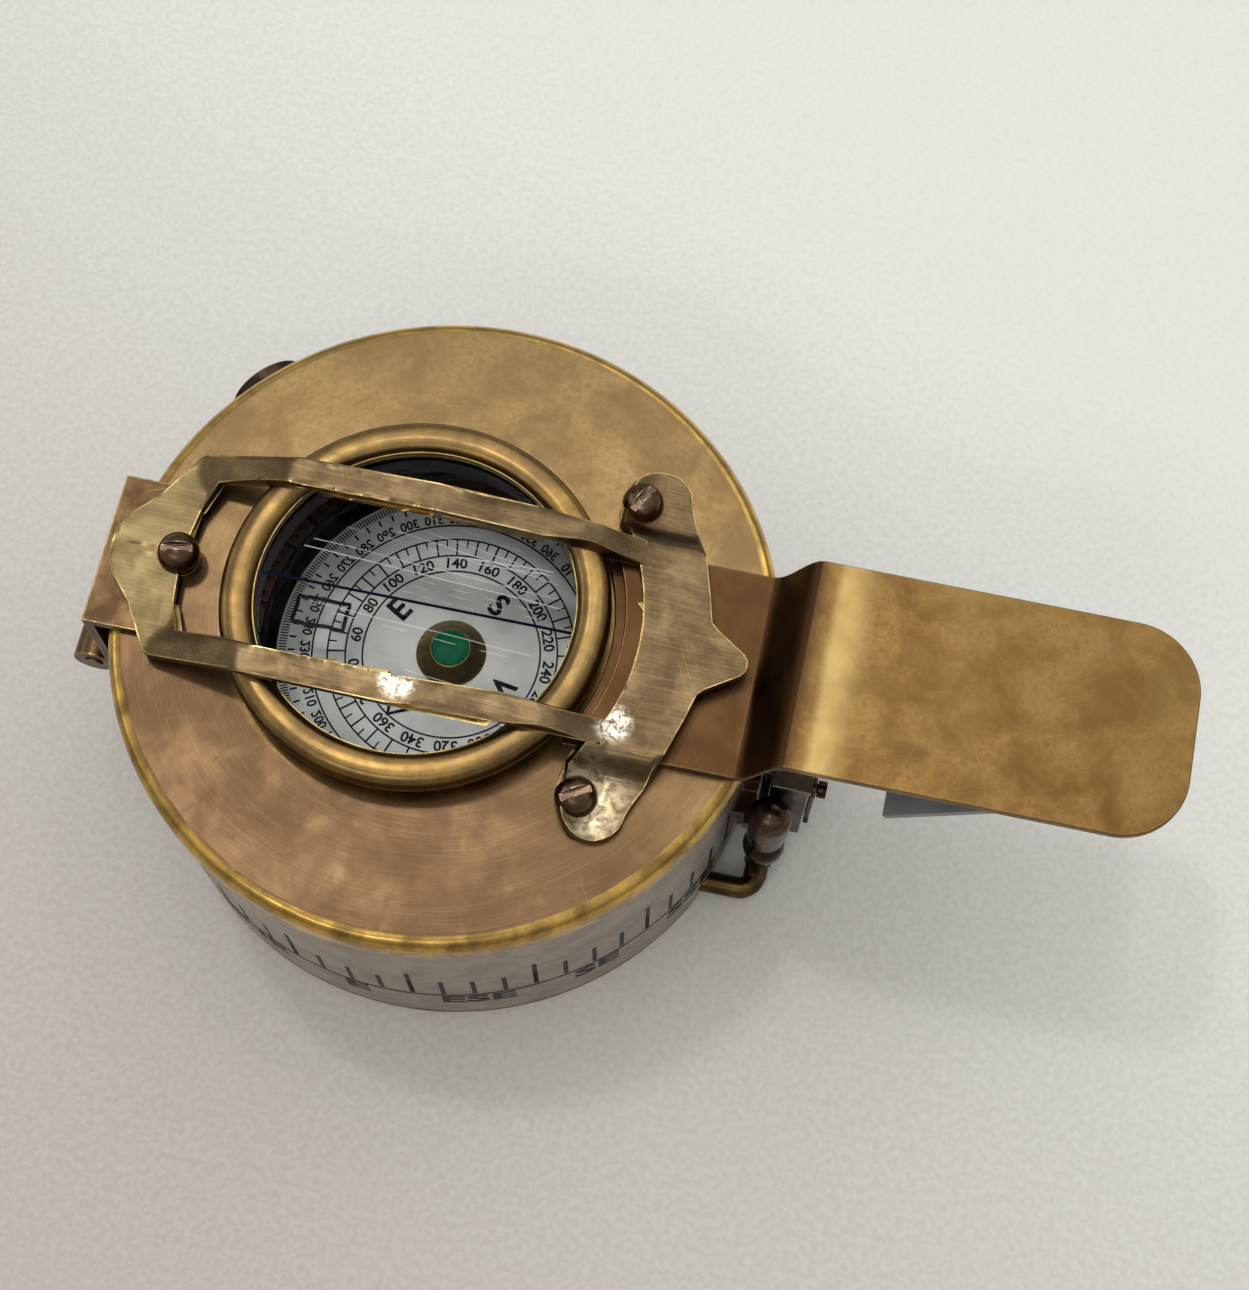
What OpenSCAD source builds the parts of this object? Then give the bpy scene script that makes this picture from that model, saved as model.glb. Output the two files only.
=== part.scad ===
// Prismatic marching compass with a sighting lid, lying shut on its flat base.
// Millimetres. The origin is the middle of the base's underside, +Z is up,
// and +X points from the lid's hinge to the thumb tongue.

/* [Case] */
// outside diameter of the scale band round the case
band_d = 63.9; // [56:0.1:76]
// thickness of the scale band
band_t = 0.65; // [0.4:0.05:1]
// wall thickness of the case
case_wall = 2.3; // [1.6:0.1:3]
// height of the case from the table to its mouth
case_h = 27.8; // [27:0.1:34]
// depth of the pocket under the base for the thumb ring
pocket_depth = 3.3; // [3:0.1:4]
// floor thickness above that pocket
floor_t = 1.5; // [1:0.1:2.5]
// height of the scale band's lower edge above the table
band_z = 0.8; // [0.5:0.1:2]

/* [Card and pivot] */
// diameter of the dial card
card_d = 35.2; // [30:0.1:38]
// height of the card's upper face
card_z = 21.4; // [20:0.1:21.8]
// thickness of the card
card_t = 0.5; // [0.3:0.1:1]
// diameter of the jewel cap's foot
cap_d = 6.3; // [5:0.1:8]
// diameter of the green jewel
jewel_d = 3.4; // [2:0.1:4]
// length of each bar magnet
magnet_len = 14; // [8:0.5:18]
// width and height of each bar magnet
magnet_w = 2; // [1:0.1:3]
// distance of each magnet's middle from the pivot
magnet_off = 5; // [4:0.1:8]
// diameter of the steel pivot pin
pivot_d = 0.9; // [0.6:0.1:1.4]
// diameter of the pivot post
post_d = 4.8; // [3:0.1:7]

/* [Bezel and clamp] */
// inner diameter of the bezel's dark lip round the card
lip_d = 36.8; // [34:0.1:40]
// diameter of the bezel glass
case_glass_d = 42.6; // [40:0.1:46]
// thickness of the bezel glass
case_glass_t = 1.1; // [0.8:0.1:2]
// length and width of the black box mark
box_mark = [5.6, 3.2]; // [2:0.1:8]
// line width of the box mark
box_line = 0.4; // [0.2:0.05:0.8]
// direction of the clamp screw round the case in degrees
clamp_angle = 136; // [120:1:150]
// height of the clamp screw's axis
clamp_z = 22.1; // [21.6:0.1:23]
// diameter of the clamp screw's knurled knob
knob_d = 8.3; // [6:0.1:9]
// thickness of the knob
knob_t = 2.7; // [2:0.1:6]
// number of grooves round the knob
knob_grooves = 38; // [16:1:44]

/* [Lid] */
// how far the lid's rim stands out past the scale band
lid_overhang = 0.55; // [0.3:0.05:2]
// height of the lid from its skirt's edge to its flat face
lid_h = 3.35; // [3.2:0.05:5]
// gap between the case's mouth and the lid's skirt
lid_gap = 0.15; // [0.1:0.05:0.4]
// thickness of the lid's disc
disc_t = 1.2; // [0.8:0.1:1.6]
// thickness of the lid's skirt, and its rounded edge's radius
skirt_t = 1.5; // [1:0.1:2]
// distance of the window's middle from the lid's, towards the hinge
window_off = 2.6; // [1:0.1:4]
// clear diameter of the window
window_d = 30.6; // [26:0.1:34]
// outside diameter of the rolled collar round the window
collar_d = 37.4; // [34:0.1:40]
// height of the collar above the disc
collar_h = 4.4; // [3.6:0.1:5]
// thickness of the lid glass
lid_glass_t = 1.3; // [0.8:0.1:2]
// how far the lid glass runs under the collar's lip
glass_seat = 1.1; // [0.6:0.1:1.6]
// width of the hairline
hair_w = 0.26; // [0.1:0.02:0.5]

/* [Hinge] */
// gap between the lid's rim and the hinge leaf that hangs down outside it
hinge_gap = 0.3; // [0.2:0.1:1]
// height of the hinge axis
hinge_z = 19.8; // [18:0.1:22]
// diameter of the hinge knuckles
knuckle_d = 4.2; // [3.8:0.1:5]
// diameter of the hinge pin
hinge_pin_d = 1.8; // [1.2:0.1:2.4]
// width of the hinge across both outer knuckles
hinge_w = 15.6; // [12:0.1:20]
// width of the case's middle knuckle
mid_knuckle = 4.8; // [4:0.1:7]
// thickness of the hinge's sheet
leaf_t = 1; // [0.8:0.1:1.4]
// height of the plate that holds the hinge on the band
case_leaf_h = 9.2; // [8:0.1:12]

/* [Guard frame] */
// thickness of the guard frame's sheet
guard_t = 0.9; // [0.7:0.1:1.2]
// gap between the window collar and the bars above it
bar_gap = 0.4; // [0.3:0.1:1]
// depth of the bars' turned-down inner edges
bar_flange = 1.9; // [1.4:0.1:2]
// diameter of the screw heads
head_d = 4.1; // [3.5:0.1:5]
// height of the screw heads
head_h = 2.2; // [1.4:0.1:2.8]
// diameter of the screws' shanks
shank_d = 2; // [1.6:0.1:2.5]
// how far the left screw stands inwards of the middle between the rim and the collar
left_screw_in = 0.7; // [0:0.1:1.4]
// how far the left plate and its screw stand off the middle plane
plate_shift = 0.4; // [0:0.1:0.8]
// distance of the two right screws from the window collar
right_screw_gap = 5.6; // [5:0.1:6.5]
// direction of the two right screws from the window's middle in degrees
right_screw_angle = 38.8; // [36:0.1:42]
// width of a bar
bar_w = 2.8; // [2:0.1:3.4]
// distance between the bars' outer edges at their middle
bar_spread = 22.4; // [20:0.1:26]

/* [Tongue] */
// length of the tongue outside the lid's rim
tongue_len = 38.3; // [30:0.5:46]
// width of the tongue
tongue_w = 20.8; // [18:0.1:22]
// thickness of the tongue's sheet
tongue_t = 1; // [0.8:0.1:1.4]
// height of the tongue's crank outside the lid's rim
crank_h = 6.3; // [5:0.1:7]
// radius of the tongue's two outer corners
corner_r = 6.4; // [4:0.1:10]
// thickness of the curved packing piece between tongue and guard
packing_t = 1.2; // [0.8:0.1:1.6]

/* [Leaf under the tongue] */
// distance of the leaf's hinge from the tongue's tip
leaf_back = 15.6; // [14:0.1:20]
// length of the leaf from its hinge axis
leaf_len = 13.7; // [10:0.1:14]
// width of the leaf
leaf_w = 19; // [14:0.1:20]
// thickness of the leaf
leaf_sheet = 0.8; // [0.6:0.1:1.2]
// angle of the leaf below level in degrees
leaf_angle = 42; // [10:1:46]
// diameter of the leaf's hinge barrel
leaf_barrel_d = 2.2; // [1.8:0.1:2.6]

/* [Prism and thumb ring] */
// width of the prism housing
prism_w = 12.6; // [10:0.1:13]
// height of the prism housing's underside above the table
prism_z = 5.2; // [4.6:0.1:7]
// height of the prism housing
prism_h = 14.2; // [12:0.1:14.6]
// depth of the prism housing
prism_d = 3.7; // [3.4:0.1:5]
// wall thickness of the prism housing
prism_wall = 0.7; // [0.5:0.1:1]
// height of the prism's folding axis
fold_z = 21.6; // [21.4:0.1:22]
// diameter of the prism hinge's barrel
fold_d = 2.6; // [2.2:0.1:2.8]
// travel of the focusing slide
focus_travel = 2.5; // [1:0.1:3]
// diameter of the eye lens
lens_d = 4.8; // [3:0.1:6]
// diameter of the thumb ring's wire
ring_wire = 2.3; // [1.8:0.1:2.5]
// width of the thumb ring between its arms' middles
ring_w = 25; // [24:0.1:26]
// reach of the thumb ring inwards from its axis to the wire's middle
ring_reach = 26.2; // [20:0.1:28]
// distance of the two ring posts from the middle plane
post_y = 8.8; // [8.7:0.1:9.2]

/* [Fits] */
// radial clearance of a running pin
run_fit = 0.05; // [0.03:0.01:0.08]
// gap between pieces that move past each other
move_gap = 0.3; // [0.2:0.05:0.5]
// gap between pieces that are seated or clamped together
seat_gap = 0.1; // [0:0.05:0.2]

/* [Hidden] */

// fine and medium roundness of turned faces
fine = 96;
mid = 48;

// case
band_r = band_d / 2;
case_r = band_r - band_t;
bore_r = case_r - case_wall;
floor_z = pocket_depth + floor_t;
ledge_h = 1.5;
ledge_w = 2.4;

// pivot and card
post_top = 10.6;
cap_r = cap_d / 2;
cap_h = 1.7;
cap_stem_r = cap_r - 1.3;
pin_tip = card_z + 0.6;
pin_cone = 0.7;
jewel_r = jewel_d / 2;
jewel_t = 0.8;

// bezel, from the outside in
bezel_r = bore_r - move_gap;
bezel_skirt = 1.5;
seat_w = 1.4;
bezel_foot = clamp_z - 1.3;
ledge_z = bezel_foot - move_gap;
lip_z = card_z + 1.5;
seat_z = lip_z + 1.2;
gasket_t = 0.3;
case_glass_r = case_glass_d / 2;
case_glass_z = seat_z + gasket_t;
case_glass_top = case_glass_z + case_glass_t;
bezel_top = case_glass_top + 0.6;
glass_ring_w = 1.1;
web_t = 1.4;
mark_t = 0.12;
mark_x = -13;
mark_y = 0.05;

// clamp screw, along its own axis
bush_r = 1.5;
clamp_shank_r = 1;
clamp_tip = bezel_r + 0.15;
bush_flange = 0.7;
knob_start = band_r + bush_flange + move_gap;
knurl_depth = 0.25;

// lid
lid_r = band_r + lid_overhang;
skirt_z = case_h + lid_gap;
disc_top = skirt_z + lid_h;
disc_z = disc_top - disc_t;
window_r = window_d / 2;
collar_r = collar_d / 2;
collar_top = disc_top + collar_h;
collar_wall = collar_r - window_r;
collar_undercut = 1;
glass_r = window_r + glass_seat;
glass_top = collar_top - collar_wall / 2;
glass_z = glass_top - lid_glass_t;
ring_lip = 0.6;

// hinge
knuckle_r = knuckle_d / 2;
plate_r = band_r + leaf_t;
hinge_x = plate_r + move_gap + knuckle_r;
hinge_pin_r = hinge_pin_d / 2;
web_in = lid_r + hinge_gap;
web_out = web_in + leaf_t;
leaf_flange_z = disc_top;
case_leaf_web = knuckle_r;
case_leaf_top = hinge_z + case_leaf_web / 2 + 0.2;
leaf_top = leaf_flange_z + leaf_t;

// guard frame: heights of its underside at the left plate, the bars and the anchor plate
plate_z = leaf_top + seat_gap;
bars_z = collar_top + bar_gap;
anchor_z = disc_top + seat_gap + tongue_t + packing_t + seat_gap;
ear_z = disc_top + seat_gap;
anchor_arc = collar_r + 3;
head_r = head_d / 2;
shank_r = shank_d / 2;
shank_end = disc_z - 1;
pad_r = 1.9;
slot_w = 0.7;
slot_depth = 0.7;

// guard frame: the points of the disc that its plan follows
collar_left = -window_off - collar_r;
collar_right = collar_r - window_off;
arc_x = anchor_arc - window_off;
plate_tip = -lid_r - 0.4;
left_screw_x = (collar_left - lid_r) / 2 + left_screw_in;
right_screw_r = collar_r + right_screw_gap;
right_screw = [right_screw_r * cos(right_screw_angle) - window_off, right_screw_r * sin(right_screw_angle)];
bar_y = bar_spread / 2;
ear = [right_screw[0] + 1.8, right_screw[1] + 0.8];
ear_r = 3;
step_run = 2;
step_y = right_screw[1] - head_r - step_run;
ramp_end = collar_left + 4.6;

// tongue
root_z = disc_top + seat_gap;
root_arc = collar_r + move_gap;
packing_arc = collar_r + 1.3;
tongue_half = tongue_w / 2;
tongue_reach = lid_r + tongue_len;
root_x = right_screw[0] - 2.5;
blade_z = root_z + crank_h;
crank_x = lid_r - 2.3;
crank_run = 4.6;
packing_w = 2.4;
packing_inset = 0.8;

// leaf under the tongue
leaf_x = tongue_reach - leaf_back;
leaf_barrel_r = leaf_barrel_d / 2;
leaf_pivot_z = blade_z - leaf_barrel_r - 0.4;
leaf_barrel_w = 10.4;
leaf_pin_r = 0.5;
ear_t = 1;

// prism assembly, stacked outwards from the band
bracket_x = band_r + 0.95;
ring_x = bracket_x + 1.4;
slide_t = 0.9;
slide_x = bracket_x + 0.15;
prism_x = slide_x + slide_t + 0.15;
prism_out = prism_x + prism_d;
prism_half = prism_w / 2;
prism_top = prism_z + prism_h;
cap_t = 0.8;
fold_x = slide_x + 0.45;
fold_r = fold_d / 2;
fold_pin_r = 0.6;
fold_mid = 5.6;
slide_half = 5.6;
slide_low = prism_z + 0.2;
slide_top = fold_z - fold_r - 0.2;
guide_z = [slide_low + 4.8, slide_low + 10.4];
guide_r = 0.8;
guide_head_r = 1.5;
lens_r = lens_d / 2;
lens_z = prism_z + 6.6;
lever_y = -5.2;
lever_z = prism_top - 1.2;
lever_len = 9.5;
lever_t = 0.5;
lever_r = 1.1;

// thumb ring
wire_r = ring_wire / 2;
ring_half = ring_w / 2;
ring_z = 0.6 + wire_r;
eye_r = 1.45;
foot_t = 1.3;
post_foot = [post_y - foot_t / 2, post_y + foot_t / 2];
ring_eye_in = post_foot[1] + 0.25;
rivet_r = 0.6;
elbow_r = 1.7;
ring_end_r = wire_r + 0.1;
bore_end = ring_half - elbow_r + 0.6;
boss_x = ring_x + 0.2;
boss_r = 2.2;
boss_top = 17;
boss_foot = 14.4;
collar_z = 11;
bead_z = [4.7, 10];
bead_r = 2.2;
neck_r = 1.1;
stud_r = 0.8;
stud_h = 1.8;

// a flat ring lying level
module ring(outer, inner, height, res = fine) {
    difference() {
        cylinder(r = outer, h = height, $fn = res);
        translate([0, 0, -1]) cylinder(r = inner, h = height + 2, $fn = res);
    }
}

// a round bar or bore along X from x0 to x1
module rod_x(x0, x1, r, res = mid) {
    translate([x0, 0, 0]) rotate([0, 90, 0]) cylinder(r = r, h = x1 - x0, $fn = res);
}

// a round bar or bore along Y from y0 to y1
module rod_y(y0, y1, r, res = mid) {
    translate([0, y0, 0]) rotate([-90, 0, 0]) cylinder(r = r, h = y1 - y0, $fn = res);
}

// the same solid on both sides of the middle plane
module both_sides() {
    children();
    mirror([0, 1, 0]) children();
}

// an outline in the X-Z plane, run along Y from y0 to y1
module profile_y(points, y0, y1) {
    translate([0, y1, 0]) rotate([90, 0, 0]) linear_extrude(y1 - y0) polygon(points);
}

// the band of sheet between a line of points and the same line lifted by t
function sheet(points, t) = concat(points, [for (i = [len(points) - 1:-1:0]) [points[i][0], points[i][1] + t]]);

// space the thumb ring swings up into under the base
module ring_pocket() {
    reach = ring_x - ring_reach + ring_half;
    side = ring_half + wire_r + move_gap + 0.15;
    translate([reach, 0, -1]) cylinder(r = side, h = pocket_depth + 1, $fn = fine);
    translate([reach, -side, -1]) cube([band_d, 2 * side, pocket_depth + 1]);
}

// places a solid on the clamp screw's axis, which it then follows along +X
module on_clamp_axis() {
    rotate([0, 0, clamp_angle]) translate([0, 0, clamp_z]) children();
}

module case() {
    color([0.52, 0.42, 0.25]) difference() {
        union() {
            cylinder(r = case_r, h = floor_z, $fn = fine);
            cylinder(r = band_r, h = band_z, $fn = fine);
            ring(case_r, bore_r, case_h);
            // step inside, which the bezel stands clear of
            translate([0, 0, ledge_z - ledge_h]) ring(bore_r + 0.1, bore_r - ledge_w, ledge_h);
        }
        ring_pocket();
        on_clamp_axis() rod_x(bore_r - case_wall, band_r + 1, bush_r);
        cylinder(r = shank_r, h = floor_z + 1, $fn = mid);
    }
}

module scale_band() {
    color([0.72, 0.72, 0.70]) difference() {
        translate([0, 0, band_z]) ring(band_r, case_r, case_h - band_z);
        ring_pocket();
        on_clamp_axis() rod_x(bore_r, band_r + 1, bush_r);
    }
}

module pivot_post() {
    color([0.60, 0.48, 0.28]) difference() {
        union() {
            translate([0, 0, floor_z]) cylinder(r = post_d, h = 1.2, $fn = mid);
            translate([0, 0, floor_z]) cylinder(r = post_d / 2, h = post_top - floor_z, $fn = mid);
            translate([0, 0, pocket_depth + 0.4]) cylinder(r = shank_r, h = 2, $fn = mid);
        }
        translate([0, 0, post_top - 3]) cylinder(r = pivot_d / 2, h = 4, $fn = mid);
    }
}

module pivot_pin() {
    color([0.70, 0.70, 0.72]) {
        translate([0, 0, post_top - 3]) cylinder(r = pivot_d / 2, h = pin_tip - pin_cone - post_top + 3, $fn = mid);
        translate([0, 0, pin_tip - pin_cone]) cylinder(r1 = pivot_d / 2, r2 = 0.08, h = pin_cone, $fn = mid);
    }
}

module compass_card() {
    color([0.80, 0.80, 0.78]) translate([0, 0, card_z - card_t]) ring(card_d / 2, cap_stem_r, card_t);
}

module card_magnets() {
    color([0.30, 0.30, 0.32]) both_sides() {
        translate([-magnet_len / 2, magnet_off - magnet_w / 2, card_z - card_t - magnet_w])
            cube([magnet_len, magnet_w, magnet_w]);
    }
}

module jewel_cap() {
    color([0.68, 0.56, 0.32]) difference() {
        union() {
            translate([0, 0, card_z]) cylinder(r1 = cap_r, r2 = jewel_r + 0.5, h = cap_h, $fn = mid);
            translate([0, 0, card_z - card_t - 0.6]) cylinder(r = cap_stem_r, h = card_t + 1, $fn = mid);
        }
        translate([0, 0, card_z - 3]) cylinder(r = pivot_d, h = pin_tip - card_z + 3.1, $fn = mid);
        translate([0, 0, card_z + cap_h - jewel_t + 0.2]) cylinder(r = jewel_r, h = 2, $fn = mid);
    }
}

module jewel() {
    color([0.0, 0.37, 0.24]) translate([0, 0, card_z + cap_h - jewel_t + 0.2]) {
        cylinder(r = jewel_r, h = jewel_t - 0.2, $fn = mid);
        translate([0, 0, jewel_t - 0.2]) cylinder(r1 = jewel_r, r2 = jewel_r - 0.3, h = 0.2, $fn = mid);
    }
}

module bezel() {
    seat_wall = case_glass_r + seat_w;
    color([0.22, 0.16, 0.12]) rotate_extrude($fn = fine) {
        translate([bezel_r - bezel_skirt, bezel_foot]) square([bezel_skirt, bezel_top - bezel_foot]);
        translate([case_glass_r, bezel_top - web_t]) square([bezel_r - case_glass_r, web_t]);
        translate([case_glass_r, lip_z]) square([seat_wall - case_glass_r, bezel_top - lip_z]);
        translate([lip_d / 2, lip_z]) square([seat_wall - lip_d / 2, seat_z - lip_z]);
    }
}

module case_glass() {
    color([0.85, 0.90, 0.90, 0.25]) translate([0, 0, case_glass_z])
        cylinder(r = case_glass_r - run_fit, h = case_glass_t, $fn = fine);
}

module glass_gasket() {
    color([0.05, 0.05, 0.05]) translate([0, 0, seat_z]) ring(case_glass_r, case_glass_r - glass_ring_w, gasket_t);
}

module glass_ring() {
    color([0.35, 0.27, 0.17]) translate([0, 0, case_glass_top])
        ring(case_glass_r, case_glass_r - glass_ring_w, bezel_top - case_glass_top);
}

module index_box() {
    color([0.03, 0.03, 0.03]) translate([mark_x, mark_y, case_glass_top]) difference() {
        translate([-box_mark[0] / 2, -box_mark[1] / 2, 0]) cube([box_mark[0], box_mark[1], mark_t]);
        translate([box_line - box_mark[0] / 2, box_line - box_mark[1] / 2, -1])
            cube([box_mark[0] - 2 * box_line, box_mark[1] - 2 * box_line, 3]);
    }
}

module clamp_bush() {
    color([0.42, 0.32, 0.19]) on_clamp_axis() difference() {
        union() {
            rod_x(bore_r + 0.1, band_r + 0.05, bush_r);
            rod_x(band_r + 0.02, band_r + bush_flange, bush_r + 1.1);
        }
        rod_x(bore_r - 1, band_r + 2, clamp_shank_r + run_fit);
    }
}

module clamp_screw() {
    color([0.33, 0.25, 0.15]) on_clamp_axis() difference() {
        union() {
            rod_x(clamp_tip, knob_start + 0.5, clamp_shank_r);
            rod_x(knob_start, knob_start + knob_t, knob_d / 2);
        }
        for (i = [0:knob_grooves - 1]) rotate([i * 360 / knob_grooves, 0, 0])
            translate([knob_start - 1, 0, knob_d / 2]) rotate([45, 0, 0])
                cube([knob_t + 2, knurl_depth * 1.5, knurl_depth * 1.5]);
    }
}

module hinge_case_leaf() {
    low = case_leaf_top - case_leaf_h;
    high = case_leaf_top;
    color([0.45, 0.30, 0.18]) difference() {
        union() {
            intersection() {
                translate([0, 0, low]) ring(plate_r, band_r, high - low);
                translate([-plate_r, -hinge_w / 2, low - 1]) cube([plate_r / 2, hinge_w, high - low + 2]);
            }
            translate([-hinge_x, 0, hinge_z]) rod_y(-mid_knuckle / 2, mid_knuckle / 2, knuckle_r);
            translate([-hinge_x, -mid_knuckle / 2, hinge_z - case_leaf_web / 2])
                cube([hinge_x - band_r - 0.3, mid_knuckle, case_leaf_web]);
        }
        translate([-hinge_x, 0, hinge_z]) rod_y(-hinge_w, hinge_w, hinge_pin_r);
    }
}

module hinge_pin() {
    color([0.62, 0.60, 0.56]) translate([-hinge_x, 0, hinge_z]) rod_y(-hinge_w / 2 - 0.2, hinge_w / 2 + 0.2, hinge_pin_r);
}

module hinge_lid_leaf() {
    notch = mid_knuckle / 2 + 0.2;
    color([0.50, 0.33, 0.20]) difference() {
        union() {
            translate([-hinge_x, 0, hinge_z]) rod_y(-hinge_w / 2, hinge_w / 2, knuckle_r);
            translate([-web_out, -hinge_w / 2, case_leaf_top + move_gap])
                cube([leaf_t, hinge_w, leaf_top - case_leaf_top - move_gap]);
            // outer half of the web, which runs down past the case's plate to the knuckles
            translate([-web_out, -hinge_w / 2, hinge_z])
                cube([web_out - plate_r - move_gap, hinge_w, leaf_top - hinge_z]);
            translate([-web_out, -hinge_w / 2, leaf_flange_z]) cube([web_out + left_screw_x, hinge_w, leaf_t]);
            translate([left_screw_x, plate_shift, leaf_flange_z]) cylinder(r = pad_r, h = leaf_t, $fn = mid);
        }
        translate([-hinge_x - knuckle_r - 1, -notch, hinge_z - knuckle_r - 1])
            cube([hinge_x - lid_r + knuckle_r + 1, 2 * notch, 2 * knuckle_r + 1.6]);
        translate([-hinge_x, 0, hinge_z]) rod_y(-hinge_w, hinge_w, hinge_pin_r + run_fit);
        translate([left_screw_x, plate_shift, leaf_flange_z - 1]) cylinder(r = shank_r, h = 4, $fn = mid);
    }
}

module lid_shell() {
    edge = skirt_t;
    color([0.58, 0.47, 0.28]) difference() {
        union() {
            rotate_extrude($fn = fine) {
                translate([0, disc_z]) square([lid_r - edge, disc_t]);
                translate([lid_r - skirt_t, skirt_z]) square([skirt_t, disc_top - edge - skirt_z]);
                intersection() {
                    translate([lid_r - edge, disc_top - edge]) circle(r = edge, $fn = mid);
                    translate([lid_r - edge, disc_top - edge]) square(edge);
                }
            }
            translate([-window_off, 0, 0]) rotate_extrude($fn = fine) {
                translate([window_r, disc_z]) square([collar_wall - collar_undercut, glass_top - disc_z]);
                translate([window_r + collar_wall / 2, glass_top]) circle(r = collar_wall / 2, $fn = mid);
            }
        }
        translate([-window_off, 0, disc_z - 1]) cylinder(r = window_r, h = collar_h + 8, $fn = fine);
        translate([-window_off, 0, disc_z - 1]) cylinder(r = glass_r, h = glass_top - disc_z + 1, $fn = fine);
        guard_screw_places() translate([0, 0, disc_z - 1]) cylinder(r = shank_r, h = disc_t + 2, $fn = mid);
    }
}

module lid_glass() {
    color([0.85, 0.90, 0.90, 0.25]) translate([-window_off, 0, glass_z])
        cylinder(r = glass_r - run_fit, h = lid_glass_t, $fn = fine);
}

module lid_glass_ring() {
    color([0.40, 0.31, 0.19]) translate([-window_off, 0, disc_z]) ring(glass_r, window_r + 0.2, glass_z - disc_z);
}

module hairline() {
    half = window_r - 0.1;
    color([0.04, 0.05, 0.20]) translate([-window_off - half, -hair_w / 2, glass_top]) cube([2 * half, hair_w, mark_t]);
}

// puts a solid at each of the three screws' places
module guard_screw_places() {
    translate([left_screw_x, plate_shift, 0]) children();
    for (side = [-1, 1]) translate([right_screw[0], side * right_screw[1], 0]) children();
}

// plan of the guard's left plate and one bar, on the side of the middle plane that side names
module half_frame_plan(side) {
    inner_y = bar_y - bar_w;
    mid_y = plate_shift * side;
    polygon([for (p = [[plate_tip, mid_y], [plate_tip, 2.2 + mid_y], [plate_tip + 3.2, 5.7 + mid_y],
        [collar_left - 5.4, bar_y - 0.6 + mid_y], [collar_left + 5, bar_y], [-window_off, bar_y + 0.1],
        [collar_right - 8.6, bar_y - 0.2], [arc_x - 1.2, bar_y - 0.7], [arc_x - 0.2, inner_y - 0.4],
        [collar_right - 8, inner_y - 0.3], [-window_off, inner_y + 0.1], [collar_left + 6, inner_y],
        [collar_left - 3, inner_y - 0.6 + mid_y], [collar_left - 4.1, inner_y - 3.6 + mid_y],
        [collar_left - 4.7, mid_y]]) [p[0], p[1] * side]]);
}

// plan of the anchor plate, on the +Y side
module half_anchor_plan() {
    difference() {
        union() {
            polygon([[arc_x - 4.3, 0], [ear[0] - ear_r, ear[1]], [ear[0], ear[1]], [ear[0] + ear_r, ear[1]],
                [arc_x + 4.5, 10.3], [arc_x + 6.4, 3.5], [arc_x + 10.5, 0.8], [arc_x + 10.5, 0]]);
            translate(ear) circle(r = ear_r, $fn = mid);
        }
        translate([-window_off, 0]) circle(r = anchor_arc, $fn = fine);
        translate([ear[0] - ear_r - 1, step_y - 0.6]) square([1.7, 1.5]);
    }
}

module guard_frame() {
    ramp_x = left_screw_x + pad_r;
    reach = arc_x + 11;
    side = ear[1] + ear_r + 1;
    ramp = [for (i = [0:8]) [ramp_x + (ramp_end - ramp_x) * i / 8, plate_z + (bars_z - plate_z) * (1 - cos(22.5 * i)) / 2]];
    frame_side = sheet(concat([[plate_tip - 1, plate_z]], ramp, [[collar_right - 3.5, bars_z],
        [arc_x - 3.5, anchor_z], [reach, anchor_z]]), guard_t);
    anchor_side = sheet([[0, anchor_z], [step_y, anchor_z], [step_y + step_run, ear_z], [side, ear_z]], guard_t);
    color([0.43, 0.35, 0.24]) difference() {
        union() {
            intersection() {
                profile_y(frame_side, -bar_spread, bar_spread);
                translate([0, 0, plate_z - 2]) linear_extrude(10) union() {
                    half_frame_plan(1);
                    half_frame_plan(-1);
                    translate([left_screw_x, plate_shift]) circle(r = pad_r, $fn = mid);
                }
            }
            intersection() {
                both_sides() translate([arc_x - 9, 0, 0]) rotate([90, 0, 90]) linear_extrude(21) polygon(anchor_side);
                translate([0, 0, disc_top - 1]) linear_extrude(10) both_sides() half_anchor_plan();
            }
            both_sides() bar_edge();
        }
        guard_screw_places() translate([0, 0, disc_top - 1]) cylinder(r = shank_r, h = 9, $fn = mid);
    }
}

// turned-down inner edge of a bar, inside the window collar
module bar_edge() {
    edge_t = 0.7;
    foot = max(bars_z + guard_t - bar_flange, glass_top + 0.5);
    left = collar_left + 7;
    right = collar_right - 8;
    inner_y = bar_y - bar_w;
    translate([0, 0, foot]) linear_extrude(bars_z + guard_t - foot)
        polygon([[left, inner_y + 0.01], [-window_off, inner_y + 0.11], [right, inner_y - 0.29],
            [right, inner_y - 0.29 + edge_t], [-window_off, inner_y + 0.11 + edge_t], [left, inner_y + 0.01 + edge_t]]);
}

// slotted round-head screw standing on height z, its slot turned by slot_turn
module guard_screw(z, slot_turn) {
    color([0.40, 0.30, 0.22]) difference() {
        union() {
            translate([0, 0, shank_end]) cylinder(r = shank_r, h = z - shank_end + 0.5, $fn = mid);
            translate([0, 0, z]) rotate_extrude($fn = mid) intersection() {
                translate([0, head_h - head_r]) circle(r = head_r, $fn = mid);
                square([head_r, head_h + 1]);
            }
        }
        translate([0, 0, z + head_h - slot_depth]) rotate([0, 0, slot_turn])
            translate([-head_r - 1, -slot_w / 2, 0]) cube([2 * head_r + 2, slot_w, head_h]);
    }
}

module guard_screw_left() {
    translate([left_screw_x, plate_shift, 0]) guard_screw(plate_z + guard_t, 10);
}

module guard_screw_front() {
    translate([right_screw[0], -right_screw[1], 0]) guard_screw(ear_z + guard_t, 30);
}

module guard_screw_back() {
    translate([right_screw[0], right_screw[1], 0]) guard_screw(ear_z + guard_t, 62);
}

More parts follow.
